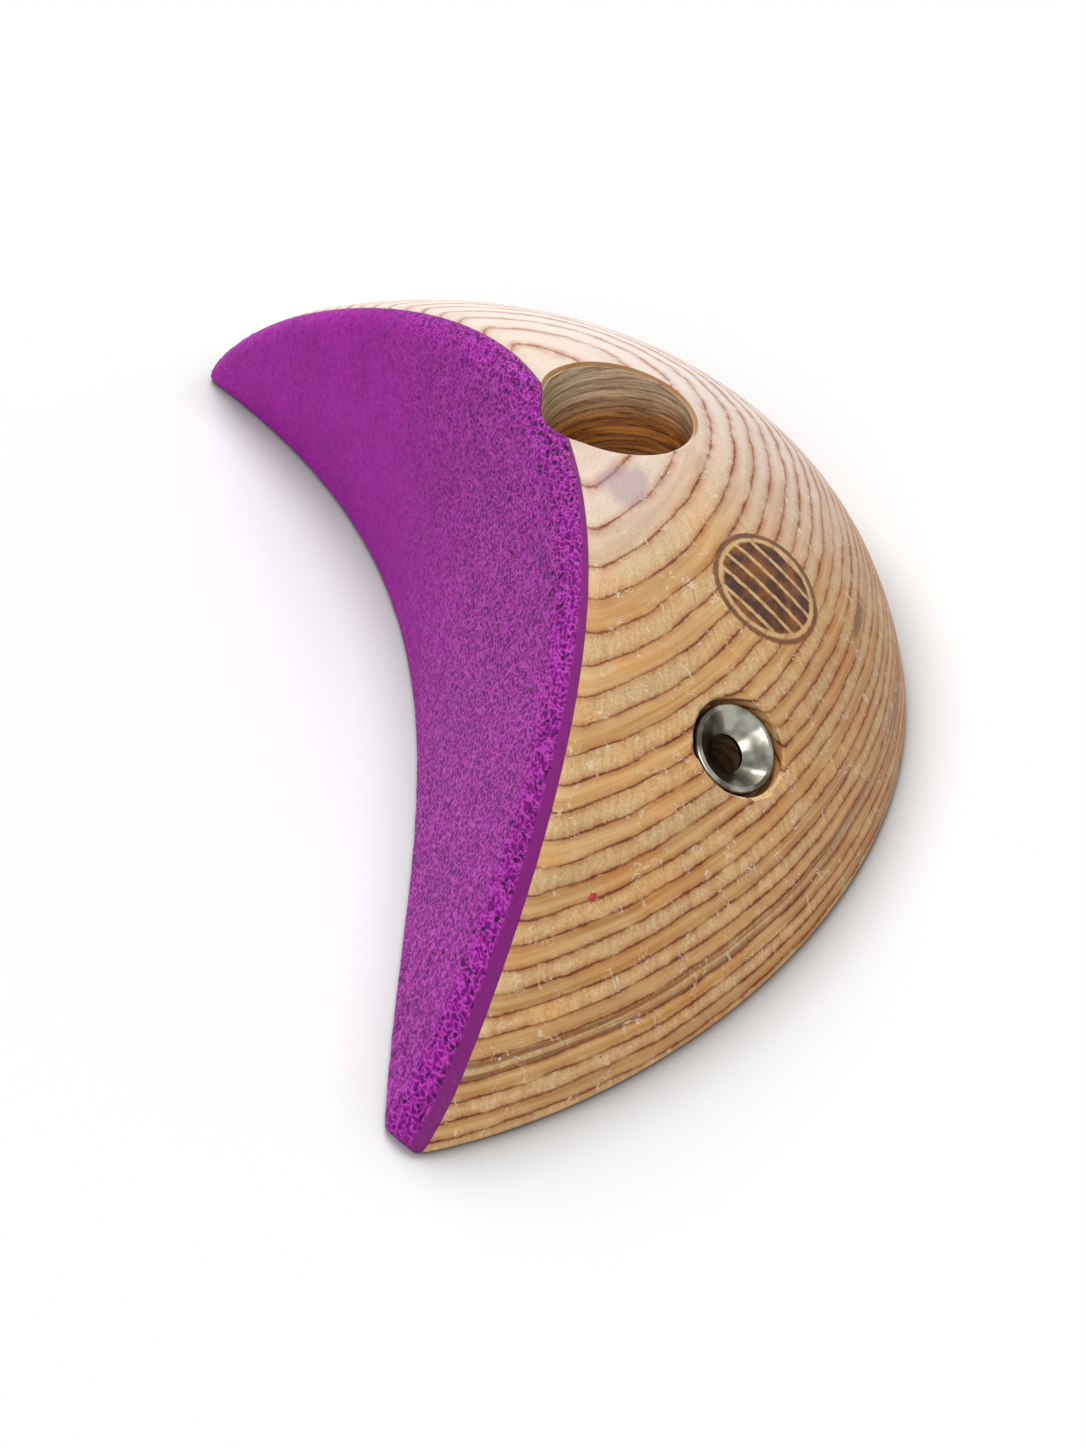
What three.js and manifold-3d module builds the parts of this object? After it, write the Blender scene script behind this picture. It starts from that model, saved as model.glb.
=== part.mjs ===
// A crescent climbing hold: a domed plywood blank with a resin grip face bonded into its hollow side,
// a deep counterbore for the wall bolt and a slanted hole for the screw that stops it turning.
// Millimetres. The back lies on Z = 0 and +Z points out of the wall. +X runs along the hold, and +Y
// points out of the hollow grip face, which is up when the hold hangs on a wall.

import * as THREE from "three";
import { mergeVertices } from "three/addons/utils/BufferGeometryUtils.js";
import Module from "manifold-3d";

// Dome of the blank: how far it reaches from the middle of its back outline, and where its crest lies
const CREST_HEIGHT = 44.6;
const NEAR_REACH = 92.1;
const FAR_REACH = 93.2;
const BELLY_REACH = 88;
const BELLY_SET_BACK = 1.1;
const CREST_SHIFT = 8.8;
const CREST_SET_BACK = 32.2;

// Powers that round the dome towards its tips, its belly and its crest, and that move its crest back
const DOME_SOFT_SHARE = 0.12;
const NEAR_POWER_SHARE = 1.926;
const FAR_POWER_SHARE = 1.597;
const BELLY_POWER_SHARE = 1.79;
const CREST_POWER_SHARE = 1.32;
const DRIFT_POWER_SHARE = 1.248;

// Hollow grip face: its line on the back, and how it leans over the blank as it rises
const HALF_CHORD = 88;
const FACE_SET_BACK = 14.5;
const CHORD_SKEW = -2.2;
const TIP_SWEEP = 22.5;
const FAR_HOOK = 6.9;
const TIP_EASE = -3.3;
const FACE_LEAN_SHARE = 0.496;
const FAR_LEAN_SHARE = -0.327;

// The blank's sections stand round a vertical line this far out in front of the hollow
const SWEEP_CENTRE = 60;

// Rounded edges: the ridge between dome and grip face, rounder at the tips, and the back's outline
const RIDGE_ROUND = 4.5;
const TIP_ROUND = 4.9;
const BACK_ROUND = 1.2;

// How closely the rounder edge and the thicker skin keep to the tips
const TIP_POWER_SHARE = 6;

// Resin skin on the grip face, thicker where it wraps the tips
const SKIN_THICKNESS = 2.6;
const SKIN_TIP_EXTRA = 1.2;
const BOND_GAP = 0.3;

// Wall bolt: an M10 clearance hole under a counterbore, with a flat washer on the counterbore's floor
const BOLT_SHIFT = 4;
const BOLT_SET_BACK = 47.8;
const COUNTERBORE_RADIUS = 11;
const BOLT_HOLE_RADIUS = 5.5;
const BOLT_WEB = 20;
const BOLT_WASHER_RADIUS = 10;
const BOLT_WASHER_HOLE_RADIUS = 5.25;
const BOLT_WASHER_THICKNESS = 2;
const BOLT_WASHER_CHAMFER = 0.4;
const SEAT_GAP = 0.3;

// Screw that stops the hold turning: drilled square to the dome, with a turned cup washer sunk in it
const SCREW_SHIFT = -49.9;
const SCREW_SET_BACK = 54.1;
const SCREW_HOLE_RADIUS = 2.9;
const CUP_RADIUS = 6.3;
const CUP_MOUTH_RADIUS = 5.5;
const CUP_HOLE_RADIUS = 2.75;
const CUP_HEIGHT = 3.4;
const CUP_FLOOR = 0.7;
const CUP_EDGE_ROUND = 0.5;
const CUP_SINK = 1.2;
const CUP_CLEARANCE = 0.5;

// How far a cutter runs past what it cuts, and the step used to read a surface's slope
const OVERRUN = 8;
const SLOPE_STEP = 0.05;

// How many faces the curved surfaces get
const STATIONS = 60;
const FACE_COLUMNS = 14;
const DOME_COLUMNS = 20;
const BACK_COLUMNS = 5;
const PARTING_COLUMNS = 48;
const PARTING_ROWS = 12;
const BORE_SEGMENTS = 48;
const EDGE_STEPS = 4;
const HALVINGS = 30;
const CORNER_GATHER_SHARE = 0.75;

const { lerp } = THREE.MathUtils;

const finishes = {
  plywood: new THREE.MeshStandardMaterial({ color: 0xd0a36b, roughness: 0.75, metalness: 0 }),
  resin: new THREE.MeshStandardMaterial({ color: 0x8c2f8f, roughness: 0.6, metalness: 0 }),
  steel: new THREE.MeshStandardMaterial({ color: 0x9a958c, roughness: 0.35, metalness: 1 }),
};

// Halves the span between an inside and an outside value until they meet.
function findEdge(inside, outside, isInside) {
  let near = inside;
  let far = outside;
  for (let i = 0; i < HALVINGS; i++) {
    const middle = (near + far) / 2;
    if (isInside(middle)) near = middle;
    else far = middle;
  }
  return (near + far) / 2;
}

// The value between low and high where a single-peaked function is largest.
function findPeak(low, high, score) {
  let a = low;
  let b = high;
  for (let i = 0; i < HALVINGS; i++) {
    const third = (b - a) / 3;
    if (score(a + third) < score(b - third)) a += third;
    else b -= third;
  }
  return (a + b) / 2;
}

// A power of a share, rounded off where the share is small so that the surface has no crease there.
function softPower(share, power) {
  return Math.hypot(share, DOME_SOFT_SHARE) ** power - DOME_SOFT_SHARE ** power;
}

// The dome's level is 1 on its surface. Its level curves drift from the belly to the crest as they rise.
function domeLevel(x, y, z) {
  const rise = Math.max(z, 0) / CREST_HEIGHT;
  const drift = Math.min(rise, 1) ** DRIFT_POWER_SHARE;
  const along = x - CREST_SHIFT * drift;
  const across = y + lerp(BELLY_SET_BACK, CREST_SET_BACK, drift);
  const lengthwise =
    along < 0
      ? softPower(along / NEAR_REACH, NEAR_POWER_SHARE)
      : softPower(along / FAR_REACH, FAR_POWER_SHARE);
  const crosswise = softPower(across / BELLY_REACH, BELLY_POWER_SHARE);
  return lengthwise + crosswise + rise ** CREST_POWER_SHARE;
}

// The grip face's place across the hold, at a place along it and a height.
function faceAcross(x, z) {
  const u = x / HALF_CHORD;
  const lean = FACE_LEAN_SHARE + FAR_LEAN_SHARE * u;
  const sweep = CHORD_SKEW * u + TIP_SWEEP * u ** 2 + FAR_HOOK * u ** 3 + TIP_EASE * u ** 4;
  return sweep - FACE_SET_BACK - lean * z;
}

// Slope of a function of three places, by central differences.
function slopeOf(field, x, y, z) {
  return new THREE.Vector3(
    field(x + SLOPE_STEP, y, z) - field(x - SLOPE_STEP, y, z),
    field(x, y + SLOPE_STEP, z) - field(x, y - SLOPE_STEP, z),
    field(x, y, z + SLOPE_STEP) - field(x, y, z - SLOPE_STEP),
  ).divideScalar(2 * SLOPE_STEP);
}

// Depths below the dome and behind the grip face, positive inside the blank.
const domeDepth = (x, y, z) => (1 - domeLevel(x, y, z)) / slopeOf(domeLevel, x, y, z).length();

function faceStretch(x, z) {
  return slopeOf((a, b, c) => b - faceAcross(a, c), x, 0, z).length();
}
const faceDepth = (x, y, z) => (faceAcross(x, z) - y) / faceStretch(x, z);

// Where two surfaces meet, their common depth turns the corner on an arc.
function roundedDepth(a, b, radius) {
  if (a >= radius && b >= radius) return Math.min(a, b);
  return radius - Math.hypot(Math.max(radius - a, 0), Math.max(radius - b, 0));
}

// 0 in the middle of the hold, and 1 at the ends of its chord and beyond.
const tipShare = (x) => Math.min(Math.abs(x) / HALF_CHORD, 1) ** TIP_POWER_SHARE;

function blankDepth(x, y, z) {
  const ridgeRound = lerp(RIDGE_ROUND, TIP_ROUND, tipShare(x));
  const shell = roundedDepth(faceDepth(x, y, z), domeDepth(x, y, z), ridgeRound);
  return roundedDepth(shell, z, BACK_ROUND);
}

// The point a given way out from the sweep's vertical line, in the section that stands at an angle.
const sweepPoint = (angle, out, z) => [out * Math.cos(angle), SWEEP_CENTRE + out * Math.sin(angle), z];

// One upright section of the blank: its three sharp corners and its deepest point, each as a
// distance out from the sweep's line and a height.
function sectionAt(angle) {
  const farthest = SWEEP_CENTRE + BELLY_SET_BACK + BELLY_REACH;
  const faceOut = (z) => findEdge(0, farthest, (out) => faceDepth(...sweepPoint(angle, out, z)) < 0);
  const isUnderDome = (z) => domeLevel(...sweepPoint(angle, faceOut(z), z)) < 1;
  const height = findEdge(0, CREST_HEIGHT, isUnderDome);
  const toe = [faceOut(0), 0];
  const ridge = [faceOut(height), height];
  const heel = [findEdge(toe[0], farthest, (out) => domeLevel(...sweepPoint(angle, out, 0)) < 1), 0];
  const midway = (z) =>
    findEdge(faceOut(z), heel[0], (out) => {
      const point = sweepPoint(angle, out, z);
      return faceDepth(...point) < domeDepth(...point);
    });
  const depthAt = (z) => blankDepth(...sweepPoint(angle, midway(z), z));
  const z = findPeak(0, height, depthAt);
  return { angle, toe, ridge, heel, out: midway(z), z, depth: depthAt(z) };
}

// Directions that sweep round a section, gathered where its edges turn.
function sectionDirections(section) {
  const corners = [section.toe, section.ridge, section.heel].map(([out, z]) =>
    Math.atan2(z - section.z, section.out - out),
  );
  const heelTurn = corners[2] < corners[1] ? corners[2] + 2 * Math.PI : corners[2];
  const turns = [corners[0], corners[1], heelTurn, corners[0] + 2 * Math.PI];
  const counts = [FACE_COLUMNS, DOME_COLUMNS, BACK_COLUMNS];
  return counts.flatMap((count, side) =>
    Array.from({ length: count }, (_, i) => {
      const share = i / count;
      const swing = Math.sin(2 * Math.PI * share) / (2 * Math.PI);
      return lerp(turns[side], turns[side + 1], share - CORNER_GATHER_SHARE * swing);
    }),
  );
}

// Closed skin over rings of points, from one pole to the other.
function skinOver(firstPole, rings, lastPole) {
  const columns = rings[0].length;
  const points = [firstPole, ...rings.flat(), lastPole];
  const at = (ring, column) => 1 + ring * columns + (column % columns);
  const indices = [];
  for (let c = 0; c < columns; c++) {
    indices.push(0, at(0, c + 1), at(0, c));
    indices.push(points.length - 1, at(rings.length - 1, c), at(rings.length - 1, c + 1));
  }
  for (let r = 0; r + 1 < rings.length; r++) {
    for (let c = 0; c < columns; c++) {
      indices.push(at(r, c), at(r, c + 1), at(r + 1, c));
      indices.push(at(r, c + 1), at(r + 1, c + 1), at(r + 1, c));
    }
  }
  const geometry = new THREE.BufferGeometry().setFromPoints(points);
  geometry.setIndex(indices);
  return geometry;
}

// The angle round the sweep's line at which the blank's rounded tip ends, on one side of straight back.
function tipAngle(side) {
  const straightBack = -Math.PI / 2;
  const sideways = straightBack + (side * Math.PI) / 2;
  return findEdge(straightBack, sideways, (angle) => sectionAt(angle).depth > 0);
}

// The whole blank, as sections swept from the near tip to the far tip.
function blankGeometry() {
  const angles = [tipAngle(-1), tipAngle(1)];
  const pole = (angle) => {
    const section = sectionAt(angle);
    return new THREE.Vector3(...sweepPoint(angle, section.out, section.z));
  };
  const rings = [];
  for (let i = 1; i < STATIONS; i++) {
    const share = (1 - Math.cos((Math.PI * i) / STATIONS)) / 2;
    const section = sectionAt(lerp(angles[0], angles[1], share));
    const ring = sectionDirections(section).map((direction) => {
      const along = (distance) =>
        sweepPoint(
          section.angle,
          section.out - distance * Math.cos(direction),
          section.z + distance * Math.sin(direction),
        );
      const distance = findEdge(0, BELLY_REACH, (d) => blankDepth(...along(d)) > 0);
      return new THREE.Vector3(...along(distance));
    });
    rings.push(ring);
  }
  return skinOver(pole(angles[0]), rings, pole(angles[1]));
}

// How deep the resin goes behind the grip face.
const skinDepth = (x) => SKIN_THICKNESS + SKIN_TIP_EXTRA * tipShare(x);

// Everything that lies behind the parting face between resin and wood, further back by the gap.
function behindParting(gap, box) {
  const bottom = -OVERRUN;
  const top = CREST_HEIGHT + OVERRUN;
  const back = -BELLY_SET_BACK - BELLY_REACH - OVERRUN;
  const rings = [];
  for (let i = 0; i <= PARTING_COLUMNS; i++) {
    const x = lerp(box.min.x - OVERRUN, box.max.x + OVERRUN, i / PARTING_COLUMNS);
    const ring = [];
    for (let j = 0; j <= PARTING_ROWS; j++) {
      const z = lerp(bottom, top, j / PARTING_ROWS);
      const behind = (skinDepth(x) + gap) * faceStretch(x, z);
      ring.push(new THREE.Vector3(x, faceAcross(x, z) - behind, z));
    }
    ring.push(new THREE.Vector3(x, back, top), new THREE.Vector3(x, back, bottom));
    rings.push(ring);
  }
  const middleOf = (ring) =>
    ring.reduce((sum, p) => sum.add(p), new THREE.Vector3()).divideScalar(ring.length);
  return skinOver(middleOf(rings[0]), rings, middleOf(rings[rings.length - 1]));
}

// A turned shape about +Z, from pairs of radius and height.
function turned(profile) {
  const points = profile.map(([radius, height]) => new THREE.Vector2(radius, height));
  return new THREE.LatheGeometry(points, BORE_SEGMENTS).rotateX(Math.PI / 2);
}

function arcProfile(centreRadius, centreHeight, radius, fromAngle, toAngle) {
  return Array.from({ length: EDGE_STEPS + 1 }, (_, i) => {
    const angle = lerp(fromAngle, toAngle, i / EDGE_STEPS);
    return [centreRadius + radius * Math.cos(angle), centreHeight + radius * Math.sin(angle)];
  });
}

const wasm = await Module();
wasm.setup();

function solidOf(geometry) {
  const bare = geometry.clone();
  bare.deleteAttribute("normal");
  bare.deleteAttribute("uv");
  const merged = mergeVertices(bare);
  return new wasm.Manifold(
    new wasm.Mesh({
      numProp: 3,
      vertProperties: new Float32Array(merged.attributes.position.array),
      triVerts: new Uint32Array(merged.index.array),
    }),
  );
}

function geometryOf(solid) {
  const mesh = solid.getMesh();
  const geometry = new THREE.BufferGeometry();
  geometry.setAttribute("position", new THREE.BufferAttribute(mesh.vertProperties, 3));
  geometry.setIndex(new THREE.BufferAttribute(mesh.triVerts, 1));
  const facets = geometry.toNonIndexed();
  facets.computeVertexNormals();
  return facets;
}

function named(name, geometry, material) {
  const mesh = new THREE.Mesh(geometry, material);
  mesh.name = name;
  return mesh;
}

// Frame of the anti-turn screw: its origin on the dome, its Z square to the dome and out of the wood.
function screwFrame() {
  const height = findEdge(0, CREST_HEIGHT, (z) => domeLevel(SCREW_SHIFT, -SCREW_SET_BACK, z) < 1);
  const place = new THREE.Vector3(SCREW_SHIFT, -SCREW_SET_BACK, height);
  const outward = slopeOf(domeLevel, ...place).normalize();
  const turn = new THREE.Quaternion().setFromUnitVectors(new THREE.Vector3(0, 0, 1), outward);
  return { place, outward, turn };
}

// Counterbore and bolt hole as one cutter.
function boltCutter() {
  const top = CREST_HEIGHT + OVERRUN;
  const cutter = turned([
    [0, -OVERRUN],
    [BOLT_HOLE_RADIUS, -OVERRUN],
    [BOLT_HOLE_RADIUS, BOLT_WEB],
    [COUNTERBORE_RADIUS, BOLT_WEB],
    [COUNTERBORE_RADIUS, top],
    [0, top],
  ]);
  return cutter.translate(BOLT_SHIFT, -BOLT_SET_BACK, 0);
}

// Recess and channel for the screw as one cutter, from outside the dome to below the back.
function screwCutter(frame) {
  const floor = -CUP_SINK - CUP_HEIGHT - SEAT_GAP;
  const length = (frame.place.z + OVERRUN) / frame.outward.z;
  const cutter = turned([
    [0, -length],
    [SCREW_HOLE_RADIUS, -length],
    [SCREW_HOLE_RADIUS, floor],
    [CUP_RADIUS + CUP_CLEARANCE, floor],
    [CUP_RADIUS + CUP_CLEARANCE, OVERRUN],
    [0, OVERRUN],
  ]);
  return cutter.applyQuaternion(frame.turn).translate(...frame.place);
}

// Flat steel ring that spreads the bolt head's load over the wood.
function boltWasher() {
  const inner = BOLT_WASHER_HOLE_RADIUS;
  const outer = BOLT_WASHER_RADIUS;
  const chamfer = BOLT_WASHER_CHAMFER;
  const thickness = BOLT_WASHER_THICKNESS;
  const geometry = turned([
    [inner, 0],
    [outer, 0],
    [outer, thickness - chamfer],
    [outer - chamfer, thickness],
    [inner, thickness],
    [inner, 0],
  ]);
  return geometry.translate(BOLT_SHIFT, -BOLT_SET_BACK, BOLT_WEB + SEAT_GAP);
}

// Turned cup washer: a conical seat for the screw's head inside a rounded rim.
function cupWasher(frame) {
  const floor = -CUP_SINK - CUP_HEIGHT;
  const rimCentre = (radius) => [radius, -CUP_SINK - CUP_EDGE_ROUND, CUP_EDGE_ROUND];
  const geometry = turned([
    [CUP_HOLE_RADIUS, floor],
    [CUP_RADIUS, floor],
    ...arcProfile(...rimCentre(CUP_RADIUS - CUP_EDGE_ROUND), 0, Math.PI / 2),
    [CUP_MOUTH_RADIUS, -CUP_SINK],
    [CUP_HOLE_RADIUS, floor + CUP_FLOOR],
    [CUP_HOLE_RADIUS, floor],
  ]);
  return geometry.applyQuaternion(frame.turn).translate(...frame.place);
}

const blankShape = blankGeometry();
blankShape.computeBoundingBox();
const box = blankShape.boundingBox;
const screw = screwFrame();

const blank = solidOf(blankShape);
const bolt = solidOf(boltCutter());
const wood = blank
  .intersect(solidOf(behindParting(BOND_GAP, box)))
  .subtract(bolt)
  .subtract(solidOf(screwCutter(screw)));
const skin = blank.subtract(solidOf(behindParting(0, box))).subtract(bolt);

const hold = new THREE.Group();
hold.add(
  named("wood_body", geometryOf(wood), finishes.plywood),
  named("grip_face", geometryOf(skin), finishes.resin),
  named("bolt_washer", boltWasher(), finishes.steel),
  named("screw_cup_washer", cupWasher(screw), finishes.steel),
);
// The origin is the middle of the blank's box, on its back.
const middle = box.getCenter(new THREE.Vector3());
hold.position.set(-middle.x, -middle.y, 0);

export default hold;
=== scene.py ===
"""Looks of a crescent plywood climbing hold with a moulded resin grip face.

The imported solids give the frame. Fine meshes of the blank and of its resin face follow the same rules as
the solids, in millimetres and in the blank's own axes, and are moved into the frame at the end. The flat
back lies on the floor, +X runs to the far tip and +Y points out of the hollow grip face.
"""

import logging
import math
from dataclasses import dataclass
from enum import Enum
from functools import partial
from typing import Callable

import bpy
import numpy as np
from mathutils import Matrix, Vector

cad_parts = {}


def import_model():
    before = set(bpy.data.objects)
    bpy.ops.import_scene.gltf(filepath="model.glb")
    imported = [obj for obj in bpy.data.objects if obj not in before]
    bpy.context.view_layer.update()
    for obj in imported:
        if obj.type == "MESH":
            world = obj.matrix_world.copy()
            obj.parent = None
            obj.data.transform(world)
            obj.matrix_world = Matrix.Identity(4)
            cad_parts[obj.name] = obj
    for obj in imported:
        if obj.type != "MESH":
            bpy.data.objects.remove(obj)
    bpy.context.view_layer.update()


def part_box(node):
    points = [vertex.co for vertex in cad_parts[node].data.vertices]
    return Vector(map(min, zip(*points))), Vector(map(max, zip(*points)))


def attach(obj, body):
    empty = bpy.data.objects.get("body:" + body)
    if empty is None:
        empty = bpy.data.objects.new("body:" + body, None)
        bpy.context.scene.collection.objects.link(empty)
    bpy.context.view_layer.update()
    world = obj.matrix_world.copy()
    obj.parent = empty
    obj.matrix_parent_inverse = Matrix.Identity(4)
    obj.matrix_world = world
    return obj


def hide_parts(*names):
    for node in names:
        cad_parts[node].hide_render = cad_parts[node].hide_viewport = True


LOG = logging.getLogger("climbing_hold")
MM = 0.001
ROOT_BODY = "root"
BISECTIONS = 22
SHARP_DEGREES = 34.0

Points = np.ndarray
Triple = tuple[float, float, float]
Pair = tuple[float, float]
Profile = list[Pair]
Colour = tuple[float, float, float, float]
Adder = Callable[..., bpy.types.Node]
Signal = bpy.types.Node | bpy.types.NodeSocket
Layer = tuple[Signal, Signal | Colour]


class Cut(Enum):
    """What a cutter does to the piece it meets."""

    AWAY = "DIFFERENCE"
    KEEP = "INTERSECT"


def srgb(hex_colour: str) -> Colour:
    """Turns an sRGB hex colour into the linear colour that the shaders take.

    Args:
        hex_colour: Six hex digits after a hash sign.

    Returns:
        Linear red, green and blue, and an alpha of 1.
    """
    shares = [int(hex_colour[i : i + 2], 16) / 255 for i in (1, 3, 5)]
    linear = [c / 12.92 if c <= 0.04045 else ((c + 0.055) / 1.055) ** 2.4 for c in shares]
    return (*linear, 1.0)


def add_node(
    tree: bpy.types.NodeTree,
    kind: str,
    *values: object,
    named: dict[str, object] | None = None,
    **settings: object,
) -> bpy.types.Node:
    """Adds a node with its settings, and fills or links its inputs.

    Args:
        tree: Tree that gets the node.
        kind: Blender's name for the node type.
        values: Inputs in their order: a number or colour, a node or socket to link, or None to skip one.
        named: Further inputs by their names.
        settings: Properties of the node.

    Returns:
        The new node.
    """
    node = tree.nodes.new(kind)
    for name, value in settings.items():
        setattr(node, name, value)
    shown = [socket for socket in node.inputs if socket.enabled]
    filled = list(zip(shown, values))
    for name, value in (named or {}).items():
        filled.append((next(socket for socket in shown if socket.name == name), value))
    for socket, value in filled:
        if value is None:
            continue
        if isinstance(value, bpy.types.Node):
            value = next(output for output in value.outputs if output.enabled)
        if isinstance(value, bpy.types.NodeSocket):
            tree.links.new(value, socket)
        else:
            socket.default_value = value
    return node


def new_material(name: str) -> tuple[bpy.types.Material, Adder]:
    """Makes a material with an empty node tree.

    Args:
        name: The material's name.

    Returns:
        The material, and what adds a node to its tree.
    """
    material = bpy.data.materials.new(name)
    material.use_nodes = True
    material.node_tree.nodes.clear()
    return material, partial(add_node, material.node_tree)


def place_in_mm(add: Adder) -> Signal:
    """Adds the nodes that give the shaded point's place in millimetres, in the model's frame."""
    point = add("ShaderNodeTexCoord").outputs["Object"]
    return add("ShaderNodeVectorMath", point, 1 / MM, operation="SCALE")


def new_object(name: str, data: bpy.types.ID) -> bpy.types.Object:
    """Makes an object and puts it into the scene.

    Args:
        name: The object's name.
        data: Its mesh, lamp or lens.

    Returns:
        The object.
    """
    made = bpy.data.objects.new(name, data)
    bpy.context.scene.collection.objects.link(made)
    return made


def bisect(inside: Points, outside: Points, is_inside: Callable[[Points], Points]) -> Points:
    """Halves the spans between inside and outside values until they meet.

    Args:
        inside: Values at which the test holds.
        outside: Values at which it doesn't.
        is_inside: The test, on an array of values.

    Returns:
        The values at which the test turns.
    """
    for _ in range(BISECTIONS):
        middle = (inside + outside) / 2
        held = is_inside(middle)
        inside = np.where(held, middle, inside)
        outside = np.where(held, outside, middle)
    return (inside + outside) / 2


def gathered(count: int, gather: float) -> Points:
    """Shares from 0 to just under 1, closer together at both ends.

    Args:
        count: How many shares.
        gather: 0 for even steps, and up to 1 for steps that shrink to nothing at the ends.

    Returns:
        The shares, in order.
    """
    even = np.arange(count) / count
    return even - gather * np.sin(2 * np.pi * even) / (2 * np.pi)


@dataclass(frozen=True)
class BlankShape:
    """Rules of the blank's outer surface, with the solids' own sizes, in millimetres."""

    crest_height: float = 44.6
    near_reach: float = 92.1
    far_reach: float = 93.2
    belly_reach: float = 88.0
    belly_set_back: float = 1.1
    crest_shift: float = 8.8
    crest_set_back: float = 32.2
    soft_share: float = 0.12
    near_power: float = 1.926
    far_power: float = 1.597
    belly_power: float = 1.79
    crest_power: float = 1.32
    drift_power: float = 1.248
    half_chord: float = 88.0
    face_set_back: float = 14.5
    chord_skew: float = -2.2
    tip_sweep: float = 22.5
    far_hook: float = 6.9
    tip_ease: float = -3.3
    face_lean: float = 0.496
    far_lean: float = -0.327
    sweep_centre: float = 60.0
    ridge_round: float = 4.5
    tip_round: float = 4.9
    back_round: float = 1.2
    tip_power: float = 6.0
    skin_thickness: float = 2.6
    skin_tip_extra: float = 1.2
    slope_step: float = 0.05
    tip_search: float = 1.5
    station_gather: float = 0.6

    def soft_power(self, share: Points, power: float) -> Points:
        """A power of a share, rounded off where the share is small."""
        return np.hypot(share, self.soft_share) ** power - self.soft_share**power

    def dome_level(self, p: Points) -> Points:
        """Level of the dome: 1 on its surface, and less inside.

        Args:
            p: Points.

        Returns:
            The level at each point.
        """
        rise = np.maximum(p[..., 2], 0) / self.crest_height
        drift = np.minimum(rise, 1) ** self.drift_power
        along = p[..., 0] - self.crest_shift * drift
        across = p[..., 1] + self.belly_set_back + (self.crest_set_back - self.belly_set_back) * drift
        near = self.soft_power(along / self.near_reach, self.near_power)
        far = self.soft_power(along / self.far_reach, self.far_power)
        crosswise = self.soft_power(across / self.belly_reach, self.belly_power)
        return np.where(along < 0, near, far) + crosswise + rise**self.crest_power

    def face_across(self, x: Points, z: Points) -> Points:
        """Where the grip face lies across the hold.

        Args:
            x: Places along the hold.
            z: Heights.

        Returns:
            The face's y at each of them.
        """
        u = x / self.half_chord
        sweep = self.chord_skew * u + self.tip_sweep * u**2 + self.far_hook * u**3 + self.tip_ease * u**4
        return sweep - self.face_set_back - (self.face_lean + self.far_lean * u) * z

    def slope(self, level: Callable[[Points], Points], p: Points) -> Points:
        """Gradient of a level at some points, by central differences."""
        steps = np.eye(3) * self.slope_step
        return np.stack([level(p + s) - level(p - s) for s in steps], -1) / (2 * self.slope_step)

    def dome_depth(self, p: Points) -> Points:
        """How deep some points lie below the dome."""
        return (1 - self.dome_level(p)) / np.linalg.norm(self.slope(self.dome_level, p), axis=-1)

    def face_stretch(self, x: Points, z: Points) -> Points:
        """How much further the grip face lies off across the hold than square to itself.

        Args:
            x: Places along the hold.
            z: Heights.

        Returns:
            The ratio at each of them, 1 or more.
        """
        step = self.slope_step
        along = (self.face_across(x + step, z) - self.face_across(x - step, z)) / (2 * step)
        rise = (self.face_across(x, z + step) - self.face_across(x, z - step)) / (2 * step)
        return np.sqrt(1 + along**2 + rise**2)

    def face_depth(self, p: Points) -> Points:
        """How deep some points lie behind the grip face."""
        x, y, z = p[..., 0], p[..., 1], p[..., 2]
        return (self.face_across(x, z) - y) / self.face_stretch(x, z)

    def tip_share(self, x: Points) -> Points:
        """0 in the middle of the hold, and 1 at the ends of its chord and beyond."""
        return np.minimum(np.abs(x) / self.half_chord, 1) ** self.tip_power

    def skin_depth(self, x: Points) -> Points:
        """How deep the resin goes behind the grip face."""
        return self.skin_thickness + self.skin_tip_extra * self.tip_share(x)

    @staticmethod
    def rounded(a: Points, b: Points, radius: Points) -> Points:
        """Common depth below two surfaces, which turns their corner on an arc."""
        corner = radius - np.hypot(np.maximum(radius - a, 0), np.maximum(radius - b, 0))
        return np.where((a >= radius) & (b >= radius), np.minimum(a, b), corner)

    def blank_depth(self, p: Points) -> Points:
        """How deep some points lie inside the whole blank.

        Args:
            p: Points.

        Returns:
            The depth of each, below 0 outside.
        """
        ridge = self.ridge_round + (self.tip_round - self.ridge_round) * self.tip_share(p[..., 0])
        shell = self.rounded(self.face_depth(p), self.dome_depth(p), ridge)
        return self.rounded(shell, p[..., 2], self.back_round)

    def sweep_point(self, angle: Points, out: Points, z: Points) -> Points:
        """Points of upright sections that stand round a vertical line in front of the hollow."""
        angle, out, z = np.broadcast_arrays(angle, out, z)
        return np.stack([out * np.cos(angle), self.sweep_centre + out * np.sin(angle), z], -1)

    def section_corners(self, angle: Points) -> Points:
        """Toe, ridge and heel of the sections at some angles, as distances out and heights.

        Args:
            angle: Angles of the sections.

        Returns:
            Three corners for each angle, in an array of sections by corners by out and height.
        """
        none = np.zeros_like(angle)
        farthest = none + self.sweep_centre + self.belly_set_back + self.belly_reach

        def face_out(z: Points) -> Points:
            """How far out the grip face lies at a height."""
            return bisect(none, farthest, lambda out: self.face_depth(self.sweep_point(angle, out, z)) < 0)

        def under_dome(z: Points) -> Points:
            """Whether the grip face is still under the dome at a height."""
            return self.dome_level(self.sweep_point(angle, face_out(z), z)) < 1

        def within(out: Points) -> Points:
            """Whether the dome still covers the floor at a distance out."""
            return self.dome_level(self.sweep_point(angle, out, none)) < 1

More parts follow.
